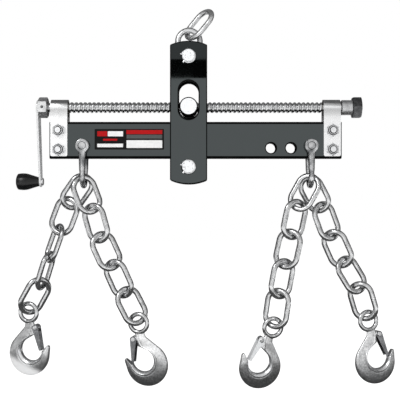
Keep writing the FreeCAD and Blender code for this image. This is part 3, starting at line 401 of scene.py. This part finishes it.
FINISHES = [
    black_paint(), shaded_strap_zinc(), galvanised_wire(), forged_zinc(), painted_highlight_forging(),
    polished_end("polished_end", (0.7, 0.71, 0.72), 0.36),
    polished_end("pitted_end", (0.4, 0.41, 0.42), 0.42),
    print_ink("film_black", (0.004, 0.004, 0.004), 0.12),
    print_ink("film_red", (0.5, 0.008, 0.01), 0.1),
    print_ink("film_white", (0.97, 0.97, 0.97), 0.5),
    print_ink("film_grey", (0.1, 0.105, 0.105), 0.12),
    # A dull copy of the enamel without sheen, painted shade that keeps edges and the trunnion's side black
    mottled("shade_enamel", 0.0, ((60.0, 4.0), (0.002, 0.002, 0.002), (0.005, 0.005, 0.005)),
            ((90.0, 4.0), 0.42, 0.52), specular=0.02),
    # Bright zinc plate with a soft drawn grain
    mottled("bright_zinc", 1.0, ((60.0, 6.0), (0.72, 0.73, 0.745), (0.86, 0.865, 0.87), 0.25, 0.75),
            ((120.0, 5.0), 0.24, 0.38), ((900.0, 3.0, (1, 1, 0.15)), 0.03 * MM)),
    # Dull plated bar, pale from every side
    mottled("arm_zinc", 0.35, ((60.0, 5.0), (0.74, 0.745, 0.75), (0.84, 0.845, 0.85)),
            ((140.0, 5.0), 0.4, 0.5), ((700.0, 3.0), 0.02 * MM)),
    # Heavier plated wire of the lifting links, smoother than the chain
    mottled("lifting_wire", 1.0, ((60.0, 4.0), (0.52, 0.525, 0.53), (0.7, 0.705, 0.71)),
            ((120.0, 4.0), 0.32, 0.42), ((300.0, 4.0), 0.03 * MM)),
    # A galvanised forging whose skin has gone grey
    mottled("dark_forging", 1.0, ((60.0, 5.0), (0.13, 0.135, 0.14), (0.58, 0.585, 0.59), 0.38, 0.62),
            ((160.0, 6.0), 0.16, 0.28), ((220.0, 4.0), 0.09 * MM)),
    # Pressed sheet, zinc plated and duller than the forging
    mottled("latch_steel", 1.0, ((90.0, 6.0), (0.2, 0.205, 0.215), (0.34, 0.345, 0.355)),
            ((200.0, 5.0), 0.28, 0.42), ((800.0, 3.0), 0.04 * MM)),
    # A rolled thread in plain zinc plate
    mottled("screw_steel", 1.0, ((110.0, 6.0), (0.44, 0.445, 0.45), (0.66, 0.665, 0.67)),
            ((240.0, 5.0), 0.18, 0.3), ((1100.0, 3.0), 0.03 * MM)),
    # Machined hexagon and collar, with fine turning marks
    mottled("turned_steel", 1.0, ((80.0, 6.0), (0.48, 0.485, 0.49), (0.64, 0.645, 0.65)),
            ((160.0, 5.0), 0.4, 0.5), ((600.0, 3.0, (4.0, 1.0, 1.0)), 0.03 * MM)),
    # Blackened steel with a thin oily sheen
    mottled("black_oxide", 1.0, ((120.0, 5.0), (0.08, 0.082, 0.085), (0.16, 0.162, 0.166)),
            ((220.0, 5.0), 0.24, 0.4), ((700.0, 3.0), 0.04 * MM)),
    # Moulded plastic with a satin skin
    mottled("black_plastic", 0.0, ((60.0, 4.0), (0.004, 0.004, 0.0045), (0.008, 0.008, 0.0085)),
            ((300.0, 4.0), 0.2, 0.28), ((1500.0, 2.0), 0.03 * MM), specular=0.34),
    # Bearing bronze, gone brown
    mottled("bush_bronze", 1.0, ((120.0, 5.0), (0.15, 0.13, 0.1), (0.24, 0.205, 0.16)),
            ((240.0, 4.0), 0.3, 0.42)),
]
MATERIALS = {finish.name: finish.material for finish in FINISHES}


def finish_of(node):
    """The finish that a solid takes: its own, its kind's, or the one that its slot gives."""
    if node in SOLID_FINISHES:
        return SOLID_FINISHES[node]
    if node.endswith("_latch"):
        return "latch_steel"
    if node.endswith("_rivet"):
        return "forged_zinc"
    return SLOT_FINISHES.get(SLOTS[node], SLOTS[node])


def dress_solids():
    """Gives every solid its finish, and breaks the sharp edges of those that have an edge radius."""
    for name, node in NODES.items():
        node.data.materials.clear()
        node.data.materials.append(MATERIALS[finish_of(name)])
        if name in EDGE_RADII:
            weld = node.modifiers.new("joined_faces", "WELD")
            weld.merge_threshold = MERGE_DISTANCE
            bevel = node.modifiers.new("broken_edges", "BEVEL")
            bevel.width, bevel.segments, bevel.limit_method = EDGE_RADII[name], EDGE_SEGMENTS, "ANGLE"
            bevel.angle_limit = SHARP_ANGLE
            bevel.harden_normals = True


def add_piece(name, mesh, finishes, body, replaced=()):
    """A mesh object in the shared frame that rides on a body and stands for the replaced solids."""
    piece = bpy.data.objects.new(name, mesh)
    bpy.context.scene.collection.objects.link(piece)
    for finish in finishes:
        mesh.materials.append(MATERIALS[finish])
    for polygon in mesh.polygons:
        polygon.use_smooth = True
    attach(piece, body)
    if replaced:
        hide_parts(*replaced)
    return piece


def finished_mesh(name, made):
    """A mesh with the given name from a bmesh, which is used up."""
    mesh = bpy.data.meshes.new(name)
    made.to_mesh(mesh)
    made.free()
    return mesh


def grid_mesh(name, rings, closed_along):
    """A tube from rings of points, with UV along the rings and round each one."""
    made = bmesh.new()
    layer = made.loops.layers.uv.new("UVMap")
    verts = [[made.verts.new(point) for point in ring] for ring in rings]
    count, around = len(verts), len(verts[0])
    for i in range(count if closed_along else count - 1):
        for k in range(around):
            after, beside = (i + 1) % count, (k + 1) % around
            face = made.faces.new((verts[i][k], verts[i][beside], verts[after][beside], verts[after][k]))
            for loop, (u, v) in zip(face.loops, ((i, k), (i, k + 1), (i + 1, k + 1), (i + 1, k))):
                loop[layer].uv = (u / count, v / around)
    if not closed_along:
        made.faces.new(list(reversed(verts[0])))
        made.faces.new(verts[-1])
    bmesh.ops.recalc_face_normals(made, faces=made.faces)
    return finished_mesh(name, made)


def eased(share):
    """A share that leaves 0 and reaches 1 gently, and is held there outside."""
    share = min(max(share, 0.0), 1.0)
    return share * share * (3 - 2 * share)


def oval_path(inner_length, steps=36, leg_steps=16):
    """Points, outward directions and distances from the weld round an oval link in its XZ plane.

    The weld is in the middle of one leg; elsewhere the distance is just a large one.
    """
    bend = (LINK_INNER_WIDTH + WIRE) / 2
    leg = (inner_length - LINK_INNER_WIDTH) / 2
    far = 1.0
    path = []
    for side in (1, -1):
        for i in range(leg_steps):
            height = leg * (2 * i / leg_steps - 1) * side
            weld = abs(height) if side > 0 else far
            path.append((Vector((side * bend, 0, height)), Vector((side, 0, 0)), weld))
        for i in range(steps):
            turn = math.pi * i / steps + (0 if side > 0 else math.pi)
            out = Vector((math.cos(turn), 0, math.sin(turn)))
            path.append((out * bend + Vector((0, 0, side * leg)), out, far))
    return path


def link_mesh(name, inner_length, matrix, coat, around=22):
    """A welded chain link: wire with a raised and grooved weld on one leg, thicker by the coat outside."""
    rings = []
    for centre, out, weld in oval_path(inner_length):
        swell = 1 + WELD_SWELL * math.exp(-((weld / WELD_REACH) ** 2))
        swell -= GROOVE_DEPTH * math.exp(-((weld / GROOVE_REACH) ** 2))
        radius = WIRE / 2 * swell
        ring = []
        for k in range(around):
            angle = 2 * math.pi * k / around
            reach = radius * math.cos(angle) + coat * max(math.cos(angle), 0.0)
            ring.append(matrix @ (centre + out * reach + Y_AXIS * (radius * math.sin(angle))))
        rings.append(ring)
    return grid_mesh(name, rings, True)


def frame_matrix(centre, across, up):
    """A placement whose X, Y and Z are across, the plane's normal, and up."""
    across, up = across.normalized(), up.normalized()
    normal = up.cross(across)
    return Matrix.Translation(centre) @ Matrix((across, normal, up)).transposed().to_4x4()


def box_centre(node):
    """The middle of a solid's box."""
    low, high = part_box(node)
    return (low + high) / 2


def pin_axis():
    """The middle of the top pin, between the two plates."""
    middle = box_centre("top_pin")
    return Vector((middle.x, 0, middle.z))


def make_links():
    """Every chain link and the two lifting links, each placed from its solid and the joint below it."""
    upper_end = Vector(JOINTS["lifting_link_swing"]["pos_m"])
    normal = Vector(MOUNTS["lifting_eye"]["axis"])
    upper = frame_matrix(Vector((0, 0, 0)), normal.cross(-upper_end), -upper_end)
    lower_up = upper_end - pin_axis()
    lower = frame_matrix(box_centre("lower_lifting_link"), lower_up.cross(-Y_AXIS), lower_up)
    links = [
        ("upper_lifting_link", upper, UPPER_INNER_LENGTH, WIRE_COAT, "lifting_wire"),
        ("lower_lifting_link", lower, LOWER_INNER_LENGTH, WIRE_COAT, "lifting_wire"),
    ]
    for chain in CHAINS:
        for i in range(1, LINKS_PER_CHAIN + 1):
            node = f"{chain}_link_{i}"
            below = f"{chain}_link_{i + 1}" if i < LINKS_PER_CHAIN else f"{chain}_hook"
            across = Vector(JOINTS[f"{below}_swing"]["axis"])
            up = across.cross(Y_AXIS)
            up *= math.copysign(1.0, up.z)
            matrix = frame_matrix(box_centre(node), across, up)
            coat = FIRST_LINK_COAT if i == 1 else WIRE_COAT
            links.append((node, matrix, LINK_INNER_LENGTH, coat, "galvanised_wire"))
    for node, matrix, inner_length, coat, finish in links:
        mesh = link_mesh(f"{node}_wire", inner_length, matrix, coat)
        add_piece(f"{node}_wire", mesh, [finish], BODY_OF[node], [node])


def thread_depth(share):
    """How far up its flank the thread is at a share of the pitch, rounded at crest and root."""
    rise = 1 - abs(2 * (share % 1.0) - 1)
    return eased((rise - ROOT_FLAT) / FLANK)


def make_screw(around=40, per_turn=18):
    """The lead screw with its rolled thread between the two journals."""
    low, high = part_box("lead_screw")
    axis_z = (low.z + high.z) / 2
    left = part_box("left_end_bracket")[1].x + BRACKET_GAP
    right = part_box("right_end_bracket")[0].x - BRACKET_GAP
    near_journal = [
        (low.x, JOURNAL_RADIUS - SCREW_CHAMFER), (low.x + SCREW_CHAMFER, JOURNAL_RADIUS),
        (left - THREAD_RUNOUT, JOURNAL_RADIUS),
    ]
    far_journal = [
        (right + THREAD_RUNOUT, JOURNAL_RADIUS), (high.x - SCREW_CHAMFER, JOURNAL_RADIUS),
        (high.x, JOURNAL_RADIUS - SCREW_CHAMFER),
    ]
    stations = [(x, [radius] * around) for x, radius in near_journal]
    count = int((right - left) / SCREW_PITCH * per_turn)
    for i in range(count + 1):
        x = left + (right - left) * i / count
        fade = min(1.0, (x - left) / THREAD_FADE, (right - x) / THREAD_FADE)
        height = (SCREW_RADIUS - SCREW_ROOT_RADIUS) * fade
        depths = [thread_depth((x - left) / SCREW_PITCH - k / around) for k in range(around)]
        stations.append((x, [SCREW_ROOT_RADIUS + height * depth for depth in depths]))
    stations += [(x, [radius] * around) for x, radius in far_journal]
    angles = [2 * math.pi * k / around for k in range(around)]
    rings = [
        [Vector((x, -r * math.cos(a), axis_z + r * math.sin(a))) for r, a in zip(radii, angles)]
        for x, radii in stations
    ]
    mesh = grid_mesh("lead_screw_thread", rings, False)
    add_piece("lead_screw_thread", mesh, ["screw_steel"], "screw", ["lead_screw"])


def softened(mesh, voxel, passes):
    """The outside of a mesh as one skin, with its edges rounded as a forging's are."""
    source = bpy.data.objects.new(mesh.name, mesh)
    bpy.context.scene.collection.objects.link(source)
    remesh = source.modifiers.new("voxels", "REMESH")
    remesh.mode, remesh.voxel_size, remesh.adaptivity = "VOXEL", voxel, 0.0
    smooth = source.modifiers.new("soften", "SMOOTH")
    smooth.factor, smooth.iterations = SMOOTHING, passes
    graph = bpy.context.evaluated_depsgraph_get()
    result = bpy.data.meshes.new_from_object(source.evaluated_get(graph))
    result.materials.clear()
    bpy.data.objects.remove(source)
    return result


def solid_copy(node):
    """A copy of a solid's mesh with its faces joined up."""
    mesh = NODES[node].data.copy()
    made = bmesh.new()
    made.from_mesh(mesh)
    bmesh.ops.remove_doubles(made, verts=made.verts, dist=MERGE_DISTANCE)
    made.to_mesh(mesh)
    made.free()
    return mesh


def bevelled(node, offset, segments, chosen):
    """A copy of a solid's mesh, its flat faces made whole and the chosen sharp edges bevelled."""
    mesh = solid_copy(node)
    mesh.materials.clear()
    made = bmesh.new()
    made.from_mesh(mesh)
    bmesh.ops.dissolve_limit(made, angle_limit=FLAT_ANGLE, verts=made.verts, edges=made.edges)
    edges = [
        edge for edge in made.edges
        if len(edge.link_faces) == 2 and edge.calc_face_angle() > SHARP_ANGLE and chosen(edge)
    ]
    if edges:
        bmesh.ops.bevel(made, geom=edges, offset=offset, offset_type="OFFSET", segments=segments,
                        profile=EDGE_PROFILE, affect="EDGES", clamp_overlap=False)
    made.to_mesh(mesh)
    made.free()
    return mesh


def make_bars():
    """The painted beam and plates, the plates' edges rounded off and the faces between left truly flat."""
    for node in ("main_beam", "front_carriage_plate", "rear_carriage_plate"):
        rounded = node != "main_beam"
        mesh = bevelled(node, PLATE_EDGE_RADIUS, segments=4, chosen=lambda edge: rounded)
        bar = add_piece(f"{node}_bar", mesh, ["black_paint", "shade_enamel"], BODY_OF[node], [node])
        # Faces that don't face along Y take the dull enamel, painted shade on the edges
        for polygon in bar.data.polygons:
            face = abs(polygon.normal.y) > BAR_FACE
            polygon.use_smooth = rounded and not face
            polygon.material_index = 0 if face else 1


def make_trunnion():
    """The trunnion nut, its side painted black as shade and its ground ends bright, with a small chamfer round
    each.
    """
    node = "trunnion_nut"
    low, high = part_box(node)

    def on_rim(edge):
        """Whether an edge lies in one of the nut's ends."""
        return any(
            all(abs(vert.co.y - end) < LEVEL_TOLERANCE for vert in edge.verts) for end in (low.y, high.y)
        )

    mesh = bevelled(node, TRUNNION_CHAMFER, segments=1, chosen=on_rim)
    nut = add_piece("trunnion_nut_turned", mesh, ["polished_end", "shade_enamel"], BODY_OF[node], [node])
    for polygon in nut.data.polygons:
        # The nut's side takes the dull black enamel, painted shade below the nut
        polygon.material_index = int(abs(polygon.normal.y) < TRUNNION_END)
        polygon.use_smooth = abs(polygon.normal.y) < TRUNNION_SIDE


def islands(mesh):
    """The low and high corner of each separate piece of a mesh."""
    made = bmesh.new()
    made.from_mesh(mesh)
    seen, boxes = set(), []
    for first in made.verts:
        if first in seen:
            continue
        seen.add(first)
        front, points = [first], []
        while front:
            vert = front.pop()
            points.append(vert.co)
            for edge in vert.link_edges:
                other = edge.other_vert(vert)
                if other not in seen:
                    seen.add(other)
                    front.append(other)
        boxes.append([Vector(limit(p[i] for p in points) for i in range(3)) for limit in (min, max)])
    made.free()
    return boxes


def lathe(made, middle, seat, rings, dark, closed, around=72):
    """Adds a piece turned about Y, some of its rings cut to a hexagon; depths run forward from its seat. The bands
    listed in dark take the second finish, painted shade.
    """
    built = []
    for depth, radius, flats in rings:
        ring = []
        for k in range(around):
            angle = 2 * math.pi * k / around
            size = radius
            if flats:
                size = min(radius, flats / 2 / math.cos((angle % (math.pi / 3)) - math.pi / 6))
            across, up = size * MM * math.sin(angle), size * MM * math.cos(angle)
            ring.append(made.verts.new((middle.x + across, seat - depth * MM, middle.z + up)))
        built.append(ring)
    for i in range(len(built) if closed else len(built) - 1):
        for k in range(around):
            beside, after = (k + 1) % around, (i + 1) % len(built)
            face = made.faces.new((built[i][k], built[i][beside], built[after][beside], built[after][k]))
            face.material_index = 1 if i in dark else 0
    if not closed:
        made.faces.new(built[0])
        made.faces.new(built[-1])


def make_fasteners():
    """Lock nuts with chamfered hexagons and crimped collars, on bolts with chamfered ends; their shaded bands take
    black oxide as painted shade.
    """
    for node in ("bracket_nuts", "bracket_bolts"):
        made = bmesh.new()
        for low, high in islands(solid_copy(node)):
            if node == "bracket_nuts":
                lathe(made, (low + high) / 2, high.y, NUT_RINGS, SHADED_NUT_BANDS, True)
            else:
                length = (high.y - low.y) / MM
                ends = [(length + depth, radius, flats) for depth, radius, flats in BOLT_END_RINGS]
                lathe(made, (low + high) / 2, high.y, BOLT_HEAD_RINGS + ends, SHADED_BOLT_BANDS, False)
        bmesh.ops.recalc_face_normals(made, faces=made.faces)
        mesh = finished_mesh(f"{node}_turned", made)
        piece = add_piece(mesh.name, mesh, ["bright_zinc", "black_oxide"], BODY_OF[node], [node])
        for polygon in piece.data.polygons:
            polygon.use_smooth = False


def flat(point):
    """A point of the hook's plane, across and up, as a vector."""
    return Vector((point[0], 0, point[1]))


def line_run(start, end, steps):
    """Points on a line, without the last one."""
    return [flat(start).lerp(flat(end), i / steps) for i in range(steps)]


def circle_run(centre, radius, start, end, steps):
    """Points on a circle between two angles in degrees, without the last one."""
    angles = [math.radians(start + (end - start) * i / steps) for i in range(steps)]
    return [flat(centre) + Vector((math.cos(a), 0, math.sin(a))) * radius for a in angles]


def on_circle(centre, radius, angle):
    """The point of a circle at an angle in degrees, across and up."""
    point = circle_run(centre, radius, angle, angle, 1)[0]
    return point.x, point.z


def tangent_angle(point, centre, radius):
    """The angle in degrees where a line from a point touches a circle on its left."""
    line = flat(point) - flat(centre)
    return math.degrees(math.atan2(line.z, line.x) + math.acos(radius / line.length))


def hook_sides():
    """Matching points down the hook's back and down its inner side, from the eye to the tip."""
    neck, shoulder, throat, bowl, tip, tip_end = HOOK_STEPS
    back_angle = tangent_angle(HOOK_SHOULDER, HOOK_BACK, HOOK_BACK_RADIUS)
    bowl_angle = tangent_angle(HOOK_THROAT, HOOK_BOWL, HOOK_BOWL_RADIUS)
    back_end = on_circle(HOOK_BACK, HOOK_BACK_RADIUS, HOOK_BACK_END)
    bowl_start = on_circle(HOOK_BOWL, HOOK_BOWL_RADIUS, HOOK_BOWL_START)
    outer = line_run(HOOK_NECK_TOP, HOOK_SHOULDER, neck)
    outer += line_run(HOOK_SHOULDER, on_circle(HOOK_BACK, HOOK_BACK_RADIUS, back_angle), shoulder)
    outer += circle_run(HOOK_BACK, HOOK_BACK_RADIUS, back_angle, HOOK_BACK_TURN, throat)
    outer += circle_run(HOOK_BACK, HOOK_BACK_RADIUS, HOOK_BACK_TURN, 360 + HOOK_BACK_END, bowl)
    inner = line_run(HOOK_NECK_FRONT, HOOK_NECK_LEVEL, neck)
    inner += line_run(HOOK_NECK_LEVEL, HOOK_THROAT, shoulder)
    inner += line_run(HOOK_THROAT, on_circle(HOOK_BOWL, HOOK_BOWL_RADIUS, bowl_angle), throat)
    inner += circle_run(HOOK_BOWL, HOOK_BOWL_RADIUS, bowl_angle, 360 + HOOK_BOWL_START, bowl)
    for side, start, corner, end in (
        (outer, back_end, TIP_OUTER, TIP_ENDS[0]), (inner, bowl_start, TIP_INNER, TIP_ENDS[1]),
    ):
        side += line_run(start, corner, tip) + line_run(corner, end, tip_end) + [flat(end)]
    return list(zip(inner, outer))


def hook_section(inner, outer, half):
    """A ring across the hook: a rim round the bowl, a crease beside it, faces that thin to the back."""
    ring = [inner.lerp(outer, a) + Y_AXIS * (b * half) for a, b in HOOK_HALF_SECTION]
    return ring + [inner.lerp(outer, a) - Y_AXIS * (b * half) for a, b in reversed(HOOK_HALF_SECTION)]


def eye_rings(steps=64, around=20):
    """Rings of the hook's eye, a round wire bent to a circle and thicker by the coat on its outside."""
    wire = EYE_WIRE / 2
    angles = [2 * math.pi * k / around for k in range(around)]
    reaches = [EYE_RADIUS + wire * math.cos(a) + EYE_COAT * max(math.cos(a), 0.0) for a in angles]
    rings = []
    for i in range(steps):
        turn = 2 * math.pi * i / steps
        out = Vector((math.cos(turn), 0, math.sin(turn)))
        rings.append([out * r + Y_AXIS * (wire * math.sin(a)) for r, a in zip(reaches, angles)])
    return rings


def boss_rings(around=40):
    """Rings of the boss round the latch's pivot, a short bar along Y with chamfered ends."""
    half, radius = HOOK_NECK_THICKNESS / 2, PIVOT_BOSS_RADIUS
    profile = [
        (-half, radius - BOSS_CHAMFER), (BOSS_CHAMFER - half, radius),
        (half - BOSS_CHAMFER, radius), (half, radius - BOSS_CHAMFER),
    ]
    angles = [2 * math.pi * k / around for k in range(around)]
    return [
        [flat(HOOK_PIVOT) + Vector((size * math.cos(a), place, size * math.sin(a))) for a in angles]
        for place, size in profile
    ]


def joined(meshes):
    """One mesh of several."""
    made = bmesh.new()
    for mesh in meshes:
        made.from_mesh(mesh)
    return finished_mesh(meshes[0].name, made)


def hook_mesh():
    """The forged hook in its own plane: body, eye and latch boss in one skin, its faces sorted by finish, with
    bright zinc round the bowl as a painted highlight on the rim.
    """
    pairs = hook_sides()
    rings = []
    for i, (inner, outer) in enumerate(pairs):
        drop = -(inner.z + outer.z) / 2
        share = eased((drop - THICKENING_START) / THICKENING_RUN)
        thickness = HOOK_NECK_THICKNESS + (HOOK_THICKNESS - HOOK_NECK_THICKNESS) * share
        from_tip = len(pairs) - 1 - i
        slimmed = min(1.0, TIP_SHARE + TIP_GAIN * from_tip, NECK_SHARE + NECK_GAIN * i)
        rings.append(hook_section(inner, outer, thickness / 2 * slimmed))
    whole = joined([
        grid_mesh("hook_body", rings, False), grid_mesh("hook_eye", eye_rings(), True),
        grid_mesh("hook_boss", boss_rings(), False),
    ])
    whole.transform(Matrix.Scale(MM, 4))
    forging = softened(whole, HOOK_VOXEL, HOOK_PASSES)
    for polygon in forging.polygons:
        # Faces round the bowl take bright zinc, a painted highlight on the rim
        from_bowl = polygon.center / MM - flat(HOOK_BOWL)
        if polygon.center.length < (EYE_RADIUS + EYE_WIRE / 2 + EYE_MARGIN) * MM:
            polygon.material_index = EYE_FINISH
        elif math.hypot(from_bowl.x, from_bowl.z) < HOOK_BOWL_RADIUS + BOWL_RIM_HIGHLIGHT:
            polygon.material_index = RIM_HIGHLIGHT_FINISH
    return forging


def hook_matrix(chain):
    """Where a hook hangs, from the places of its bowl and its latch pivot."""
    bowl = MOUNTS[f"{chain}_hook_bowl"]
    normal = Vector(bowl["axis"]).normalized()
    pivot = Vector(JOINTS[f"{chain}_latch_open"]["pos_m"])
    there = (Vector(bowl["pos_m"]) - pivot).normalized()
    here = (flat(HOOK_BOWL) - flat(HOOK_PIVOT)).normalized()
    world = Matrix((there, normal, there.cross(normal))).transposed()
    local = Matrix((here, Y_AXIS, here.cross(Y_AXIS))).transposed()
    turn = (world @ local.transposed()).to_4x4()
    return Matrix.Translation(pivot - turn @ (flat(HOOK_PIVOT) * MM)) @ turn


def taper_lugs(mesh, eye):
    """Widens a shackle's legs below its eyes, so that each lug tapers into the bow."""
    for vertex in mesh.vertices:
        drop = (eye.z - vertex.co.z) / MM
        for (above, wide), (below, narrow) in zip(LUG_WIDTHS, LUG_WIDTHS[1:]):
            if above < drop <= below:
                share = eased((drop - above) / (below - above))
                vertex.co.x = eye.x + (vertex.co.x - eye.x) * (wide + (narrow - wide) * share)


def make_forgings():
    """Hooks and shackles with soft forged edges."""
    hook = hook_mesh()
    for chain in CHAINS:
        mesh = hook.copy()
        mesh.name = f"{chain}_hook_forging"
        mesh.transform(hook_matrix(chain))
        node = f"{chain}_hook"
        # One hook takes a painted highlight in its tone, pale and matte low down and grey higher up
        skin = "painted_highlight_forging" if chain == HIGHLIT_HOOK else "forged_zinc"
        add_piece(mesh.name, mesh, [skin, "galvanised_wire", "bright_zinc"], BODY_OF[node], [node])
    for side in ("left", "right"):
        node = f"{side}_shackle"
        mesh = softened(solid_copy(node), SHACKLE_VOXEL, SHACKLE_PASSES)
        taper_lugs(mesh, box_centre(f"{node}_pin"))
        add_piece(f"{node}_forging", mesh, ["dark_forging"], BODY_OF[node], [node])


def add_slab(made, edges, front, back, index, corner):
    """A thin sheet facing -Y with rounded corners; edges are left, right, base and top."""
    left, right, base, top = edges
    outline = []
    for x, z, start in ((right, top, 0), (left, top, 90), (left, base, 180), (right, base, 270)):
        middle_x = x - math.copysign(corner, x - (left + right) / 2)
        middle_z = z - math.copysign(corner, z - (base + top) / 2)
        for step in range(CORNER_STEPS + 1):
            angle = math.radians(start + 90 * step / CORNER_STEPS)
            outline.append((middle_x + corner * math.cos(angle), middle_z + corner * math.sin(angle)))
    face = made.faces.new([made.verts.new((x, front, z)) for x, z in reversed(outline)])
    rear = made.faces.new([made.verts.new((x, back, z)) for x, z in outline])
    faces = [face, rear]
    ahead, behind = list(reversed(face.verts[:])), rear.verts[:]
    for i in range(len(outline)):
        k = (i + 1) % len(outline)
        faces.append(made.faces.new((ahead[i], ahead[k], behind[k], behind[i])))
    for piece in faces:
        piece.material_index = index


def make_sticker():
    """A plain printed film on the beam, its fields left blank."""
    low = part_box("main_beam")[0]
    inks = ["film_black", "film_red", "film_grey", "film_white"]
    made = bmesh.new()

    def placed(edges):
        """Edges in the shared frame."""
        left, right, base, top = edges
        return low.x + left * MM, low.x + right * MM, low.z + base * MM, low.z + top * MM

    film, print_face = low.y - FILM_HEIGHT, low.y - FIELD_HEIGHT
    add_slab(made, placed(STICKER_FILM), film, low.y + FILM_SINK, 0, FILM_CORNER)
    for ink, edges in STICKER_FIELDS:
        add_slab(made, placed(edges), print_face, film + FILM_SINK, inks.index(ink), FIELD_CORNER)
    bmesh.ops.recalc_face_normals(made, faces=made.faces)
    mesh = finished_mesh("beam_sticker", made)
    sticker = add_piece("beam_sticker", mesh, inks, "beam")
    for polygon in sticker.data.polygons:
        polygon.use_smooth = False


def any_ray(nodes, links, *kinds):
    """A value that is 1 for rays of the given kinds and 0 for others."""
    path = nodes.new("ShaderNodeLightPath")
    seen = path.outputs[kinds[0]]
    for kind in kinds[1:]:
        either = nodes.new("ShaderNodeMath")
        either.operation = "MAXIMUM"
        links.new(seen, either.inputs[0])
        links.new(path.outputs[kind], either.inputs[1])
        seen = either.outputs["Value"]
    return seen


def make_world():
    """Surroundings that look white and light the part softly."""
    scene = bpy.context.scene
    scene.view_settings.view_transform = "Standard"
    world = bpy.data.worlds.new("studio")
    scene.world = world
    world.use_nodes = True
    nodes, links = world.node_tree.nodes, world.node_tree.links
    nodes.clear()
    output = nodes.new("ShaderNodeOutputWorld")
    mix = nodes.new("ShaderNodeMixShader")
    seen = any_ray(nodes, links, "Is Camera Ray", "Is Glossy Ray", "Is Transmission Ray")
    links.new(seen, mix.inputs["Fac"])
    for socket, strength in ((1, WORLD_LIGHT), (2, WORLD_WHITE)):
        light = nodes.new("ShaderNodeBackground")
        light.inputs["Color"].default_value = (1, 1, 1, 1)
        light.inputs["Strength"].default_value = strength
        links.new(light.outputs["Background"], mix.inputs[socket])
    links.new(mix.outputs["Shader"], output.inputs["Surface"])


def add_plane(name, centre, across, up, material):
    """A flat rectangle given by its centre and its two half sides."""
    centre, across, up = Vector(centre), Vector(across), Vector(up)
    mesh = bpy.data.meshes.new(name)
    corners = [centre - across - up, centre + across - up, centre + across + up, centre - across + up]
    mesh.from_pydata([tuple(c) for c in corners], [], [(0, 1, 2, 3)])
    plane = bpy.data.objects.new(name, mesh)
    bpy.context.scene.collection.objects.link(plane)
    mesh.materials.append(material)
    return plane


def floor_material():
    """Pale floor that reads as white to the camera and still takes a shadow."""
    material = bpy.data.materials.new("pale_floor")
    material.use_nodes = True
    nodes, links = material.node_tree.nodes, material.node_tree.links
    shader = nodes["Principled BSDF"]
    shader.inputs["Base Color"].default_value = (FLOOR_TONE, FLOOR_TONE, FLOOR_TONE, 1)
    shader.inputs["Roughness"].default_value = FLOOR_ROUGHNESS
    shader.inputs["Specular IOR Level"].default_value = 0.0
    glow = nodes.new("ShaderNodeMath")
    glow.operation = "MULTIPLY"
    glow.inputs[1].default_value = FLOOR_GLOW
    links.new(any_ray(nodes, links, "Is Camera Ray", "Is Glossy Ray"), glow.inputs[0])
    shader.inputs["Emission Color"].default_value = (1, 1, 1, 1)
    links.new(glow.outputs["Value"], shader.inputs["Emission Strength"])
    return material


def card_material(name, level):
    """The even grey glow of a studio card."""
    material = bpy.data.materials.new(name)
    material.use_nodes = True
    nodes, links = material.node_tree.nodes, material.node_tree.links
    nodes.clear()
    output = nodes.new("ShaderNodeOutputMaterial")
    glow = nodes.new("ShaderNodeEmission")
    glow.inputs["Color"].default_value = (level, level, level, 1)
    links.new(glow.outputs["Emission"], output.inputs["Surface"])
    return material


def add_card(name, centre, across, up, level):
    """A card that reflections see and the camera and the light don't."""
    card = add_plane(name, centre, across, up, card_material(name, level))
    card.visible_camera = card.visible_diffuse = card.visible_shadow = False
    card.visible_transmission = card.visible_volume_scatter = False


def add_lamp(name, place, size, power, mirrored):
    """A soft square lamp turned to the part, which shows in reflections where it is mirrored."""
    lamp = bpy.data.lights.new(name, "AREA")
    lamp.shape, lamp.size, lamp.energy = "SQUARE", size, power
    holder = bpy.data.objects.new(name, lamp)
    holder.location = place
    holder.rotation_euler = (Vector(LAMP_TARGET) - Vector(place)).to_track_quat("-Z", "Y").to_euler()
    holder.visible_glossy = mirrored
    bpy.context.scene.collection.objects.link(holder)


def make_stage():
    """Pale floor, the cards that the gloss and the metal reflect, and soft lamps."""
    add_plane("floor", (0, 0, FLOOR_Z), X_AXIS * FLOOR_HALF, Y_AXIS * FLOOR_HALF, floor_material())
    for name, centre, across, up, level in ROOM_CARDS:
        add_card(name, centre, across, up, level)
    for name, from_pin, half_width, half_height, level in FRONT_CARDS:
        add_card(name, pin_axis() + Vector(from_pin), X_AXIS * half_width, Z_AXIS * half_height, level)
    for lamp in LAMPS:
        add_lamp(*lamp)


def make_camera():
    """A level camera that looks along Y."""
    camera = bpy.data.cameras.new("camera")
    camera.lens, camera.sensor_width = CAMERA_LENS, CAMERA_SENSOR
    holder = bpy.data.objects.new("camera", camera)
    holder.location = pin_axis() + CAMERA_FROM_PIN
    holder.rotation_euler = (math.pi / 2, 0, 0)
    bpy.context.scene.collection.objects.link(holder)
    bpy.context.scene.camera = holder


dress_solids()
make_links()
make_screw()
make_bars()
make_trunnion()
make_fasteners()
make_forgings()
make_sticker()
make_world()
make_stage()
make_camera()

bpy.context.view_layer.update()
